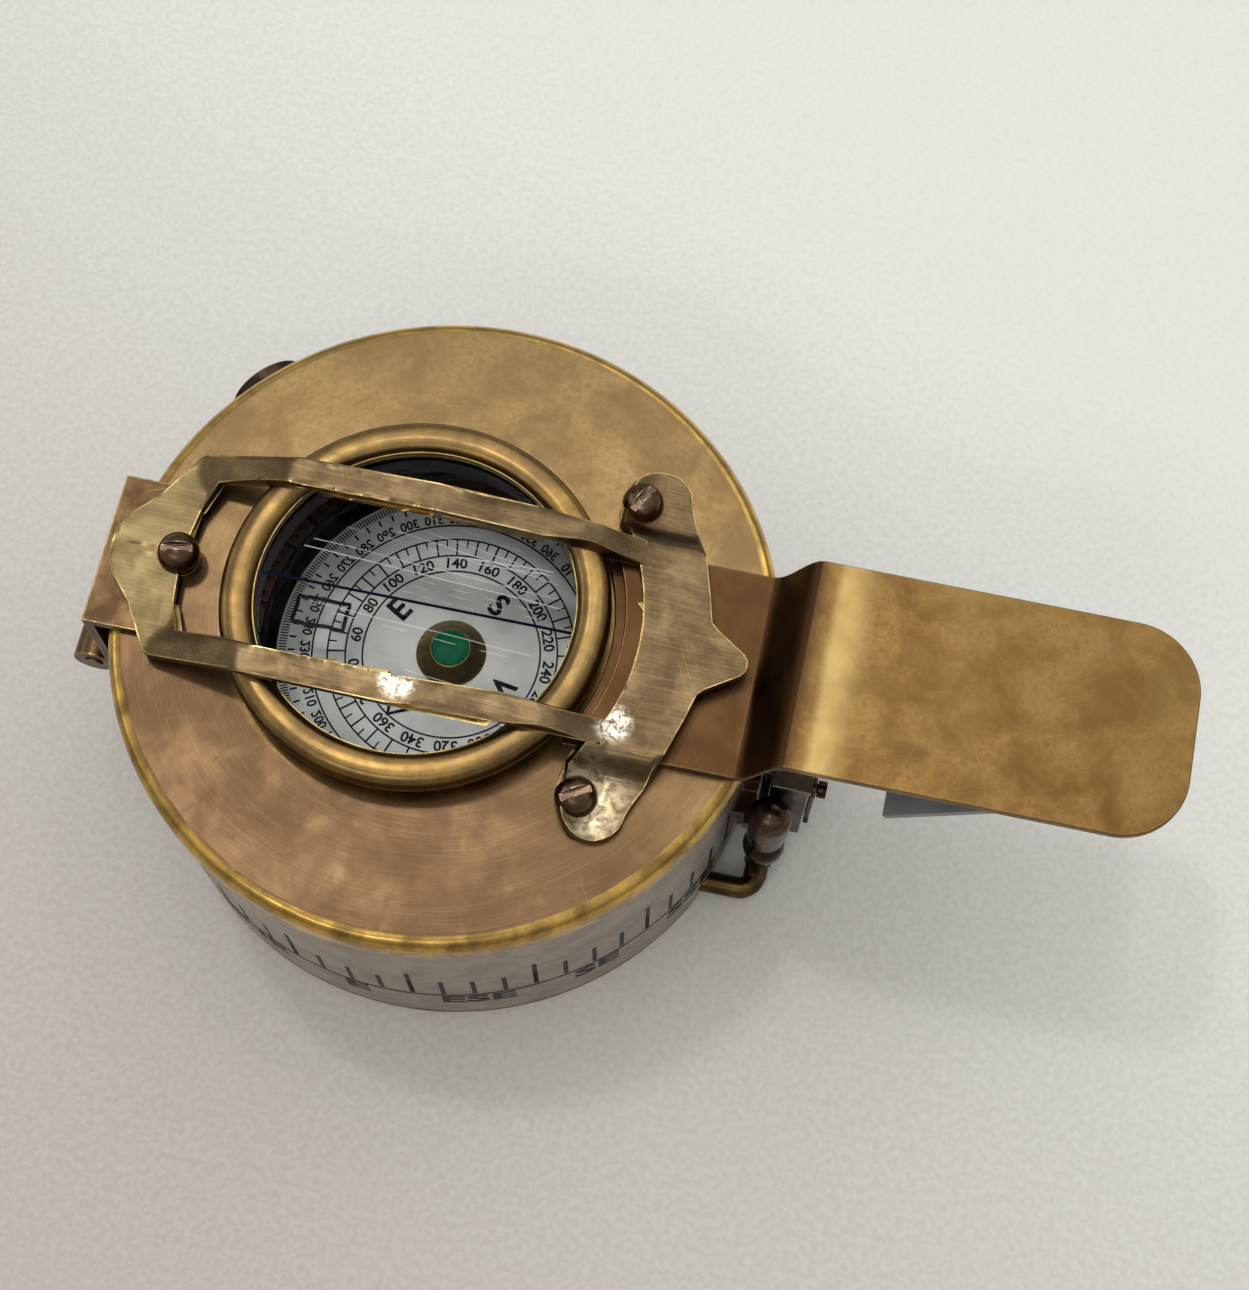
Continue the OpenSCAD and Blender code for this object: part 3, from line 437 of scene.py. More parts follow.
@dataclass(frozen=True)
class LidBrass(Metal):
    """The lid's brass: golden at its rim and round the window, olive above, reddish below, with a line of
    painted shade where the bead meets the disc.

    Tilt is the direction, in degrees, in which the red fades out from red_full to red_end.
    """

    gold: Colour = (0.45, 0.3, 0.08)
    red: Colour = (0.27, 0.16, 0.08)
    dark: Colour = (0.06, 0.04, 0.02)
    umber: Colour = (0.17, 0.105, 0.045)
    rim_start: float = 31.0
    window: Point = (-2.6, 0.0)
    bead_end: float = 19.0
    tilt: float = 70.0
    red_full: float = -16.0
    red_end: float = 12.0
    patch_size: float = 7.0
    smear_size: float = 3.5
    bead_share: float = 0.45
    crease_shade_share: float = 0.3

    def tint(self, sheet: Sheet, effects: Effects, where: Any, colour: Any) -> tuple[Any, Any]:
        """Add the red and the golden zones, and the painted shade at the bead's foot, to the colour.

        Args:
            sheet: The material's nodes.
            effects: The node groups that finishes share.
            where: The place on the piece.
            colour: The colour without the zones.

        Returns:
            The colour with them, and the mask of the parts that hands keep polished.
        """
        leaning = sheet.moved(where, Rotation=(0, 0, math.radians(-self.tilt)))
        low = sheet.window(sheet.split(leaning)[0], self.red_end * MM, self.red_full * MM)
        patch = effects.cloud(sheet, where, self.patch_size, 0.78, 0.25)
        colour = sheet.between(sheet.times(low, patch), colour, self.red)
        rim = self.round_mask(sheet, where, (0, 0), self.rim_start, self.rim_start + 0.5)
        bead = self.round_mask(sheet, where, self.window, self.bead_end + 0.35, self.bead_end - 0.1)
        smear = effects.cloud(sheet, where, self.smear_size, 0.5, 0.22)
        share = sheet.maths("MULTIPLY_ADD", smear, -0.8, 1.0)
        gold = sheet.times(sheet.maths("MAXIMUM", rim, sheet.times(bead, self.bead_share)), share)
        colour = sheet.between(gold, colour, self.gold)
        # Painted shade: a dark line in the crease at the foot of the bead.
        foot = self.round_mask(sheet, where, self.window, self.bead_end - 0.35, self.bead_end - 0.05)
        edge = self.round_mask(sheet, where, self.window, self.bead_end + 0.4, self.bead_end + 0.05)
        crease_shade = sheet.times(sheet.times(foot, edge), self.crease_shade_share)
        crown = self.round_mask(sheet, where, self.window, self.bead_end - 3.9, self.bead_end - 2.8)
        dull = sheet.times(sheet.times(crown, bead), sheet.maths("MULTIPLY_ADD", smear, 0.55, 0.25))
        colour = sheet.between(dull, colour, self.umber)
        return sheet.between(crease_shade, colour, self.dark), sheet.times(rim, share)


@dataclass(frozen=True)
class TongueBrass(Metal):
    """The tongue's brass: reddish and dark at its root, with a paler band along the fold, a painted highlight
    in the worn colour.
    """

    root: Colour = (0.065, 0.031, 0.014)
    root_end: float = 35.2
    fold: float = 36.2
    olive: Colour = (0.2, 0.14, 0.05)
    olive_size: float = 14.0
    olive_share: float = 0.5
    root_share: float = 0.88
    fold_highlight_share: float = 0.35

    def tint(self, sheet: Sheet, effects: Effects, where: Any, colour: Any) -> tuple[Any, Any]:
        """Add the dark root, the painted highlight along the fold and olive clouds to the colour.

        Args:
            sheet: The material's nodes.
            effects: The node groups that finishes share.
            where: The place on the piece.
            colour: The colour without the zones.

        Returns:
            The colour with them, and no extra polish.
        """
        olive = effects.cloud(sheet, where, self.olive_size, 0.42, 0.2)
        colour = sheet.between(sheet.times(olive, self.olive_share), colour, self.olive)
        along = sheet.split(where)[0]
        root = sheet.window(along, (self.root_end + 0.8) * MM, (self.root_end - 0.8) * MM)
        colour = sheet.between(sheet.times(root, self.root_share), colour, self.root)
        # Painted highlight: a paler band in the worn colour over the bend after the fold.
        rise = sheet.window(along, (self.fold - 0.3) * MM, (self.fold + 0.9) * MM)
        fall = sheet.window(along, (self.fold + 4.5) * MM, (self.fold + 1.2) * MM)
        fold_highlight = sheet.times(sheet.times(rise, fall), self.fold_highlight_share)
        return sheet.between(fold_highlight, colour, self.worn), 0.0


@dataclass(frozen=True)
class FrameBronze(Metal):
    """The guard frame's bronze: olive at the hinge, hammered at the front ear, and two painted highlights,
    near-white spots where light catches the bar and the anchor.
    """

    pale: Colour = (0.42, 0.36, 0.24)
    highlight_colour: Colour = (0.95, 0.88, 0.74)
    olive: Colour = (0.16, 0.125, 0.055)
    olive_start: float = -23.0
    olive_full: float = -28.0
    olive_share: float = 0.6
    ear: Point = (15.6, -16.0)
    ear_radii: Point = (7.5, 2.5)
    blow_size: float = 0.9
    pale_share: float = 0.7
    # Places of the two painted highlights, in millimetres.
    painted_highlights: tuple[Point, ...] = ((-1.9, -8.9), (18.3, -8.2))
    highlight_radii: Point = (2.3, 0.7)
    ragged_size: float = 0.55

    def tint(self, sheet: Sheet, effects: Effects, where: Any, colour: Any) -> tuple[Any, Any]:
        """Add the olive plate, the painted highlight spots and the hammered ear to the colour.

        Args:
            sheet: The material's nodes.
            effects: The node groups that finishes share.
            where: The place on the piece.
            colour: The colour without the zones.

        Returns:
            The colour with them, and the mask of the hammered parts, which shine more.
        """
        plate = sheet.window(sheet.split(where)[0], self.olive_start * MM, self.olive_full * MM)
        colour = sheet.between(sheet.times(plate, self.olive_share), colour, self.olive)
        ragged = effects.cloud(sheet, where, self.ragged_size, 0.5, 0.14)
        # Painted highlights: near-white spots, broken up by the ragged mask, where light catches the bar and
        # the anchor.
        for spot in self.painted_highlights:
            highlight_spot = self.round_mask(sheet, where, spot, *self.highlight_radii)
            colour = sheet.between(sheet.times(highlight_spot, ragged), colour, self.highlight_colour)
        near = self.round_mask(sheet, where, self.ear, *self.ear_radii)
        hammered = sheet.times(near, effects.cloud(sheet, where, self.blow_size, 0.55, 0.12))
        return sheet.between(sheet.times(hammered, self.pale_share), colour, self.pale), hammered


@dataclass(frozen=True)
class Paint:
    """A finish that isn't bare metal, such as print, card, rubber or stone."""

    name: str
    body: Colour
    stain: Colour
    roughness: float = 0.5
    size: float = 3.0
    cover: float = 0.4
    metal: float = 0.0
    gloss: float = 0.15
    grit: float = 0.01

    def make(self, effects: Effects) -> bpy.types.Material:
        """Build the material from its two colours and its gloss.

        Args:
            effects: The node groups that finishes share.

        Returns:
            The material.
        """
        material, sheet, surface, where = new_material(self.name)
        stains = effects.cloud(sheet, where, self.size, self.cover, 0.2)
        sheet.feed(surface, {
            "Base Color": sheet.between(stains, self.body, self.stain),
            "Roughness": sheet.maths("MULTIPLY_ADD", stains, 0.12, self.roughness - 0.05),
            "Metallic": self.metal,
            "Specular IOR Level": self.gloss,
            "Normal": sheet.bump(sheet.noise(where, 1500.0, 3.0), 0.4, self.grit),
        })
        return material


@dataclass(frozen=True)
class Glass:
    """Clear glass with a little dust, which lets the lamps light what lies under it."""

    name: str
    colour: Colour = (1.0, 1.0, 1.0)
    index: float = 1.06
    gloss: float = 0.05
    roughness: float = 0.01
    shadow: float = 0.92

    def make(self, effects: Effects) -> bpy.types.Material:
        """Build the material; rays from lamps pass it as through a clear sheet.

        Args:
            effects: The node groups that finishes share.

        Returns:
            The material.
        """
        material, sheet, surface, where = new_material(self.name)
        dust = effects.cloud(sheet, where, 2.5, 0.45, 0.2)
        sheet.feed(surface, {
            "Base Color": (*self.colour, 1),
            "Transmission Weight": 1.0,
            "IOR": self.index,
            "Specular IOR Level": self.gloss,
            "Roughness": sheet.maths("MULTIPLY_ADD", dust, self.roughness, self.roughness / 2),
        })
        clear = sheet.add("ShaderNodeBsdfTransparent", {"Color": (self.shadow, self.shadow, self.shadow, 1)})
        lamp = sheet.add("ShaderNodeLightPath").outputs["Is Shadow Ray"]
        mixed = sheet.add("ShaderNodeMixShader", {0: lamp, 1: surface.outputs[0], 2: clear.outputs[0]})
        sheet.feed(material.node_tree.nodes["Material Output"], {"Surface": mixed.outputs[0]})
        return material


@dataclass(frozen=True)
class Tabletop:
    """The pale, faintly sparkling sheet that the compass lies on, with painted shade that darkens it towards
    the camera.
    """

    name: str = "pale_tabletop"
    near: Colour = (0.46, 0.42, 0.37)
    far: Colour = (0.74, 0.74, 0.7)
    roughness: float = 0.5
    turn: float = 60.0
    reach: float = 90.0

    def make(self) -> bpy.types.Material:
        """Build the material with a fine sparkle and painted shading that changes slowly from near to far.

        Returns:
            The material.
        """
        material, sheet, surface, where = new_material(self.name)
        fine = sheet.noise(where, 1400.0, 2.0)
        turned = sheet.moved(where, Rotation=(0, 0, math.radians(-self.turn)))
        # Painted shade: the sheet darkens and warms towards the camera.
        painted_falloff = sheet.window(sheet.split(turned)[0], -self.reach * MM, self.reach * MM)
        both = sheet.maths("ADD", sheet.window(fine, 0.3, 0.7, -0.1, 0.1), painted_falloff)
        sheet.feed(surface, {
            "Base Color": sheet.between(both, self.near, self.far),
            "Roughness": self.roughness,
            "Normal": sheet.bump(fine, 0.3, 0.02),
        })
        return material


class Finishes:
    """Every finish on the compass, made once and found by its name."""

    def __init__(self) -> None:
        """Make the shared effects and all the materials."""
        effects = Effects()
        pale_gold = shade(214, 186, 120)
        self.lid = LidBrass(
            "aged_brass_lid", shade(143, 119, 79), shade(119, 95, 62), shade(196, 172, 122), 0.33,
            stain_size=6, grain=Grain.TURNED, pitch=0.12, depth=0.002, shine=0.06, scratch=0.12,
            streak=0.6, speck=0.7, speck_size=0.6, wear=0.35, gold=shade(220, 178, 92),
            red=shade(88, 67, 47),
        ).make(effects)
        self.tongue = TongueBrass(
            "aged_brass_tongue", shade(126, 98, 56), shade(100, 72, 38), pale_gold, 0.38, stain_size=5,
            scratch=0.12, speck=0.6, speck_size=0.5, wear=0.6, wear_width=0.3,
        ).make(effects)
        self.frame = FrameBronze(
            "bronzed_frame", shade(105, 87, 62), shade(75, 59, 43), pale_gold, 0.32, stain_size=4,
            grain=Grain.BRUSHED, pitch=0.11, depth=0.003, shine=0.12, turn=-2.5, wear=0.8, wear_width=0.3,
            scratch=0.14,
        ).make(effects)
        # Lighter gold than the frame: the edges' brass, lightened as painted light where they lie in shade.
        self.gold_edge_painted_light = Metal(
            "gold_edge_painted_light", shade(150, 124, 78), shade(112, 88, 54), pale_gold, 0.34, stain_size=1.6,
            wear=0.8, wear_width=0.2,
        ).make(effects)
        self.screw = Metal(
            "coppery_screw", shade(118, 94, 74), shade(72, 54, 42), shade(226, 204, 178), 0.25,
            stain_size=1.5, scratch=0.3, wear=0.8, wear_width=0.18,
        ).make(effects)
        self.hinge = Metal(
            "coppery_hinge", shade(106, 82, 55), shade(72, 54, 38), pale_gold, 0.33, stain_size=3.5,
            scratch=0.4, wear=0.85, wear_width=0.3,
        ).make(effects)
        self.case = Metal(
            "aged_brass_case", shade(134, 112, 74), shade(96, 74, 50), shade(190, 165, 110), 0.36,
            stain_size=8, grain=Grain.TURNED, pitch=0.4, depth=0.003, wear=0.5,
        ).make(effects)
        self.band = Metal(
            "silvered_band", shade(178, 168, 158), shade(152, 142, 132), shade(205, 198, 188), 0.38,
            stain_size=4, wear=0.3, scratch=0.15,
        ).make(effects)
        self.prism = Metal(
            "black_bronze", shade(92, 74, 60), shade(50, 38, 32), shade(176, 150, 112), 0.28,
            stain_size=2.5, wear=0.8, wear_width=0.25,
        ).make(effects)
        self.prism_top = Metal(
            "bare_prism_top", shade(150, 146, 142), shade(96, 88, 82), shade(200, 196, 190), 0.3,
            stain_size=2.5, wear=0.7, wear_width=0.25,
        ).make(effects)
        self.ring = Metal(
            "dark_brass_ring", shade(104, 84, 50), shade(62, 46, 30), shade(184, 156, 100), 0.3,
            stain_size=3, wear=0.4, wear_width=0.3,
        ).make(effects)
        # Near-black: dark metal, with the shade under the tongue painted into the colour.
        self.post = Metal(
            "black_posts_painted_shade", shade(44, 34, 28), shade(74, 46, 32), shade(150, 118, 84), 0.2, stain_size=1.4,
            stain_cover=0.35, wear=0.5, wear_width=0.2,
        ).make(effects)
        self.knob = Metal(
            "dark_brass_knob", shade(72, 58, 42), shade(42, 33, 26), shade(170, 140, 92), 0.32,
            stain_size=2, wear=1.0, wear_width=0.2,
        ).make(effects)
        self.cap = Metal(
            "bright_brass_cap", shade(156, 132, 72), shade(108, 88, 46), shade(214, 196, 146), 0.3,
            stain_size=2.5, grain=Grain.TURNED, pitch=0.12, depth=0.003, wear=0.25, wear_width=0.1,
        ).make(effects)
        self.steel = Metal(
            "bare_steel", shade(170, 170, 168), shade(130, 128, 126), shade(215, 215, 212), 0.3,
            stain_size=3,
        ).make(effects)
        self.bezel = Paint(
            "black_bezel", shade(20, 17, 17), shade(34, 28, 26), 0.25, gloss=0.1,
        ).make(effects)
        self.cells = Metal(
            "copper_cells", shade(150, 112, 84), shade(96, 70, 54), shade(210, 180, 150), 0.35,
            stain_size=1.2, wear=0.4, wear_width=0.1,
        ).make(effects)
        self.card = Paint(
            "silver_card", shade(152, 153, 148), shade(130, 131, 127), 0.42, size=6, metal=0.2,
        ).make(effects)
        self.print = Paint(
            "dial_print", shade(12, 14, 18), shade(28, 32, 36), 0.5, size=0.6, gloss=0.03, grit=0.002,
        ).make(effects)
        self.mark = Paint(
            "black_mark", shade(8, 8, 9), shade(22, 22, 26), 0.35, size=0.7, gloss=0.05,
        ).make(effects)
        self.line = Paint(
            "blue_line", shade(8, 8, 30), shade(16, 16, 48), 0.4, size=0.8, gloss=0.02,
        ).make(effects)
        self.jewel = Paint(
            "green_jewel", shade(0, 76, 45), shade(0, 48, 29), 0.3, size=0.7, gloss=0.03,
        ).make(effects)
        self.leaf = Paint(
            "grey_leaf", shade(132, 134, 133), shade(112, 114, 114), 0.42, size=4, gloss=0.3,
        ).make(effects)
        self.rubber = Paint(
            "black_rubber", shade(20, 20, 20), shade(34, 33, 32), 0.6, size=1.0,
        ).make(effects)
        # Pale marks on the glass: real scratches, and painted glints.
        self.dust = Paint(
            "pale_scratch_and_painted_glint", shade(205, 208, 205), shade(160, 165, 165), 0.6, size=0.4,
        ).make(effects)
        self.glass = Glass("clear_glass").make(effects)
        self.table = Tabletop().make()


class Bench:
    """Bench work that every sub-assembly uses: copying, softening and placing pieces."""

    @staticmethod
    def merged(node: str, flat: float = 0.4) -> bmesh.types.BMesh:
        """Copy a solid's mesh, join its loose triangles and its flat faces.

        Args:
            node: The solid's name.
            flat: Faces that meet at less than this angle become one.

        Returns:
            The mesh to work on.
        """
        work = bmesh.new()
        work.from_mesh(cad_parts[node].data)
        bmesh.ops.remove_doubles(work, verts=work.verts, dist=0.002 * MM)
        bmesh.ops.dissolve_limit(work, angle_limit=math.radians(flat), verts=work.verts, edges=work.edges)
        bmesh.ops.recalc_face_normals(work, faces=work.faces)
        return work

    @staticmethod
    def mesh(name: str, work: bmesh.types.BMesh) -> bpy.types.Mesh:
        """Turn the worked mesh into a plain one and free it.

        Args:
            name: The name of the plain mesh.
            work: The worked mesh.

        Returns:
            The plain mesh.
        """
        mesh = bpy.data.meshes.new(name)
        work.to_mesh(mesh)
        work.free()
        return mesh

    @staticmethod
    def gathered(meshes: Iterable[bpy.types.Mesh]) -> bmesh.types.BMesh:
        """Gather meshes into one to work on, with one finish, and remove them.

        Args:
            meshes: The plain meshes.

        Returns:
            The mesh to work on.
        """
        work = bmesh.new()
        for mesh in meshes:
            work.from_mesh(mesh)
            bpy.data.meshes.remove(mesh)
        for face in work.faces:
            face.material_index = 0
        return work

    @staticmethod
    def solid_of(obj: bpy.types.Object, name: str) -> bpy.types.Mesh:
        """Work an object's modifiers out into a plain mesh, and remove the object.

        Args:
            obj: The object with its modifiers.
            name: The name of the plain mesh.

        Returns:
            The plain mesh.
        """
        shown = obj.evaluated_get(bpy.context.evaluated_depsgraph_get())
        mesh = bpy.data.meshes.new_from_object(shown)
        mesh.name = name
        bpy.data.objects.remove(obj)
        return mesh

    def softened(
        self, name: str, mesh: bpy.types.Mesh, width: float = 0.12, sharp: float = 32, wall: float = 0
    ) -> bpy.types.Mesh:
        """Round a mesh's edges and even its shading.

        Args:
            name: The new mesh's name.
            mesh: The mesh to work on.
            width: Width of the rounding in millimetres, or 0 for none.
            sharp: Edges at more than this angle are rounded.
            wall: Thickness that an open sheet gets below it in millimetres, or 0 for a solid.

        Returns:
            A new plain mesh.
        """
        mesh.shade_smooth()
        mesh.set_sharp_from_angle(angle=math.radians(sharp))
        obj = bpy.data.objects.new(name, mesh)
        bpy.context.scene.collection.objects.link(obj)
        if wall:
            thick = obj.modifiers.new("wall", "SOLIDIFY")
            thick.thickness, thick.offset = wall * MM, -1
        if width:
            bevel = obj.modifiers.new("round", "BEVEL")
            bevel.width, bevel.segments = width * MM, 2
            bevel.limit_method, bevel.angle_limit = "ANGLE", math.radians(sharp)
            bevel.use_clamp_overlap, bevel.miter_outer = True, "MITER_ARC"
        even = obj.modifiers.new("even", "WEIGHTED_NORMAL")
        even.keep_sharp = not width
        return self.solid_of(obj, name)

    @staticmethod
    def place(
        name: str, mesh: bpy.types.Mesh, body: str, slot: str, finish: bpy.types.Material,
        instead: Sequence[str] = (),
    ) -> None:
        """Make the finished piece and hang it on its body.

        Args:
            name: The piece's name.
            mesh: Its mesh, already in place.
            body: The body that it moves with.
            slot: Not used.
            finish: Its material.
            instead: The solids that it stands for.
        """
        mesh.materials.clear()
        mesh.materials.append(finish)
        mesh.name = name
        obj = bpy.data.objects.new(name, mesh)
        bpy.context.scene.collection.objects.link(obj)
        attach(obj, body)
        if instead:
            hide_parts(*instead)
        log.info("%s: %d faces on %s", name, len(mesh.polygons), body)

    def lay(
        self, name: str, work: bmesh.types.BMesh, body: str, slot: str, finish: bpy.types.Material,
        instead: Sequence[str] = (),
    ) -> None:
        """Make the finished piece of a worked mesh, as place does of a plain one."""
        self.place(name, self.mesh(name, work), body, slot, finish, instead)

    def soften(
        self, node: str, body: str, slot: str, finish: bpy.types.Material, width: float = 0.12,
        sharp: float = 32,
    ) -> None:
        """Put a softened copy in the place of a solid.

        Args:
            node: The solid's name.
            body: The body that it moves with.
            slot: Passed on to place, which does not use it.
            finish: Its material.
            width: Width of the rounding in millimetres.
            sharp: Edges at more than this angle are rounded.
        """
        name = f"{node}_soft"
        mesh = self.softened(name, self.mesh(node, self.merged(node)), width, sharp)
        self.place(name, mesh, body, slot, finish, (node,))

    @staticmethod
    def dress(node: str, finish: bpy.types.Material) -> None:
        """Give a solid its finish and leave its mesh alone.

        Args:
            node: The solid's name.
            finish: Its finish.
        """
        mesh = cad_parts[node].data
        mesh.materials.clear()
        mesh.materials.append(finish)
        log.info("%s: dressed as it is", node)


class Repeats:
    """Geometry node trees for what repeats round an axis."""

    def __init__(self) -> None:
        """Build the tree of bars round Z."""
        self.bars = self._bars()

    @staticmethod
    def _bars() -> bpy.types.NodeTree:
        """Build the tree that sets bars round Z, each pointing outwards.

        Returns:
            The tree.
        """
        tree = bpy.data.node_groups.new("bars_round_z", "GeometryNodeTree")
        for label, kind in (
            ("Count", "Int"), ("Radius", "Float"), ("Size", "Vector"), ("Height", "Float"),
            ("Start", "Float"), ("Finish", "Material"),
        ):
            tree.interface.new_socket(name=label, in_out="INPUT", socket_type=f"NodeSocket{kind}")
        tree.interface.new_socket(name="Geometry", in_out="OUTPUT", socket_type="NodeSocketGeometry")
        sheet = Sheet(tree)
        given = sheet.add("NodeGroupInput").outputs
        circle = sheet.add("GeometryNodeMeshCircle", {"Vertices": given["Count"], "Radius": given["Radius"]})
        bar = sheet.add("GeometryNodeMeshCube", {"Size": given["Size"]})
        place = sheet.add("GeometryNodeInputPosition")
        aim = sheet.add("FunctionNodeAlignRotationToVector", {"Vector": place.outputs[0]}, axis="X")
        bars = sheet.add(
            "GeometryNodeInstanceOnPoints",
            {"Points": circle.outputs[0], "Instance": bar.outputs[0], "Rotation": aim.outputs[0]},
        )
        lift, spin = sheet.join(0, 0, given["Height"]), sheet.join(0, 0, given["Start"])
        moved = sheet.add(
            "GeometryNodeTransform",
            {"Geometry": bars.outputs[0], "Translation": lift, "Rotation": spin},
        )
        real = sheet.add("GeometryNodeRealizeInstances", {0: moved.outputs[0]})
        done = sheet.add(
            "GeometryNodeSetMaterial", {"Geometry": real.outputs[0], "Material": given["Finish"]}
        )
        sheet.add("NodeGroupOutput", {0: done.outputs[0]})
        return tree

    def ring(
        self, name: str, count: int, radius: float, size: tuple[float, float, float], height: float,
        start: float, finish: bpy.types.Material,
    ) -> bpy.types.Mesh:
        """Make a ring of bars as a plain mesh.

        Args:
            name: The mesh's name.
            count: How many bars.
            radius: Radius of the bars' middles in millimetres.
            size: Each bar's size outwards, round and up in millimetres.
            height: Height of the bars' middles in millimetres.
            start: Angle of the first bar in degrees.
            finish: The material.

        Returns:
            The mesh.
        """
        obj = bpy.data.objects.new(name, bpy.data.meshes.new(name))
        bpy.context.scene.collection.objects.link(obj)
        modifier = obj.modifiers.new("bars", "NODES")
        modifier.node_group = self.bars
        values = {
            "Count": count, "Radius": radius * MM, "Size": [part * MM for part in size],
            "Height": height * MM, "Start": math.radians(start), "Finish": finish,
        }
        for item in self.bars.interface.items_tree:
            if item.in_out == "INPUT" and item.name in values:
                modifier[item.identifier] = values[item.name]
        return Bench.solid_of(obj, name)


class LetterPress:
    """Cuts numbers and letters as thin raised shapes, each text once."""

    def __init__(self, smooth: int = 3, bold: float = 0.026) -> None:
        """Take how many points each curve of a letter gets, and how much bolder the letters are."""
        self.smooth, self.bold = smooth, bold
        self.cut: dict[str, tuple[list[Vector], list[list[int]]]] = {}

    def shape(self, text: str) -> tuple[list[Vector], list[list[int]]]:
        """Give a text's corners and faces, one high, centred, from z 0 to z 1.

        Args:
            text: The letters or figures.

        Returns:
            The corners and, for each face, their numbers.
        """
        if text not in self.cut:
            name = f"text_{text}"
            curve = bpy.data.curves.new(name, "FONT")
            curve.body, curve.size, curve.extrude = text, 1.0, 0.5
            curve.resolution_u, curve.offset = self.smooth, self.bold
            obj = bpy.data.objects.new(name, curve)
            bpy.context.scene.collection.objects.link(obj)
            work = bmesh.new()
            work.from_mesh(Bench.solid_of(obj, name))
            bmesh.ops.remove_doubles(work, verts=work.verts, dist=1e-5)
            bmesh.ops.recalc_face_normals(work, faces=work.faces)
            places = [v.co.copy() for v in work.verts]
            faces = [[v.index for v in f.verts] for f in work.faces]
            work.free()
            low = [min(p[i] for p in places) for i in range(3)]
            high = [max(p[i] for p in places) for i in range(3)]
            tall = high[1] - low[1]
            middle = ((low[0] + high[0]) / 2, (low[1] + high[1]) / 2)
            self.cut[text] = ([
                Vector(((p[0] - middle[0]) / tall, (p[1] - middle[1]) / tall, p[2] - low[2]))
                for p in places
            ], faces)
        return self.cut[text]

    def stamp(
        self, work: bmesh.types.BMesh, text: str, size: Point, put: Callable[[Vector], Vector],
        mirrored: bool = False,
    ) -> None:
        """Add a text to a mesh.

        Args:
            work: The mesh that gets it.
            text: The letters or figures.
            size: Height of the text, and how much wider than usual it is.
            put: Takes a corner of the flat text, in millimetres, to its place in metres.
            mirrored: Whether the text reads from right to left.
        """
        places, faces = self.shape(text)
        side = -1 if mirrored else 1
        corners = [
            work.verts.new(put(Vector((p[0] * size[0] * size[1] * side, p[1] * size[0], p[2]))))
            for p in places
        ]
        for face in faces:
            order = face[::-1] if mirrored else face
            try:
                work.faces.new([corners[i] for i in order])
            except ValueError:
                continue


def put_flat(radius: float, angle: float, height: float, thick: float) -> Callable[[Vector], Vector]:
    """Give the call that lays a text on a flat dial.

    Args:
        radius: Radius of the text's middle in millimetres.
        angle: Angle of the text's middle in degrees.
        height: Height of the dial in millimetres.
        thick: How thick the text is in millimetres.

    Returns:
        The call for a corner of the text.
    """
    turn = math.radians(angle - 90)
    middle = Vector((math.cos(math.radians(angle)), math.sin(math.radians(angle)), 0)) * radius

    def put(corner: Vector) -> Vector:
        """Take a corner to its place.

        Args:
            corner: A corner of the flat text in millimetres.

        Returns:
            Its place in metres.
        """
        x = corner.x * math.cos(turn) - corner.y * math.sin(turn)
        y = corner.x * math.sin(turn) + corner.y * math.cos(turn)
        return Vector((middle.x + x, middle.y + y, height + corner.z * thick)) * MM

    return put


def put_round(radius: float, angle: float, height: float, thick: float) -> Callable[[Vector], Vector]:
    """Give the call that wraps a text round the outside of a band.

    Args:
        radius: Radius of the band in millimetres.
        angle: Angle of the text's middle in degrees.
        height: Height of the text's middle in millimetres.
        thick: How thick the text is in millimetres.

    Returns:
        The call for a corner of the text.
    """

    def put(corner: Vector) -> Vector:
        """Take a corner to its place.

        Args:
            corner: A corner of the flat text in millimetres.

        Returns:
            Its place in metres.
        """
        turn = math.radians(angle) + corner.x / radius
        out = radius + (corner.z - 0.5) * thick
        return Vector((math.cos(turn) * out, math.sin(turn) * out, height + corner.y)) * MM

    return put


def slab(work: bmesh.types.BMesh, outline: Sequence[Point], low: float, high: float) -> None:
    """Add a flat plate of any outline to a mesh.

    Args:
        work: The mesh that gets it.
        outline: Its corners in order in millimetres.
        low: Height of its underside.
        high: Height of its top.
    """
    foot = [work.verts.new(Vector((x, y, low)) * MM) for x, y in outline]
    head = [work.verts.new(Vector((x, y, high)) * MM) for x, y in outline]
    faces = [work.faces.new(foot), work.faces.new(head)]
    count = len(outline)
    faces += [
        work.faces.new((foot[i], foot[(i + 1) % count], head[(i + 1) % count], head[i]))
        for i in range(count)
    ]
    bmesh.ops.recalc_face_normals(work, faces=faces)


def eased(low: float, high: float, value: float) -> float:
    """Give how far a value has come from low to high, from 0 to 1 with soft ends."""
    share = min(max((value - low) / (high - low), 0.0), 1.0)
    return share * share * (3 - 2 * share)


def around(
    work: bmesh.types.BMesh, section: Sequence[Point], steps: int, centre: Point = (0.0, 0.0)
) -> list[list[bmesh.types.BMVert]]:
    """Add the corners of a section at each step round an upright axis.

    Args:
        work: The mesh that gets them.
        section: Radius and height of each corner in millimetres.
        steps: How many steps there are in a full turn.
        centre: Place of the axis.

    Returns:
        The corners of each step.
    """
    rows = []
    for step in range(steps):
        turn = 2 * math.pi * step / steps
        rows.append([
            work.verts.new(Vector((centre[0] + r * math.cos(turn), centre[1] + r * math.sin(turn), z)) * MM)
            for r, z in section
        ])
    return rows


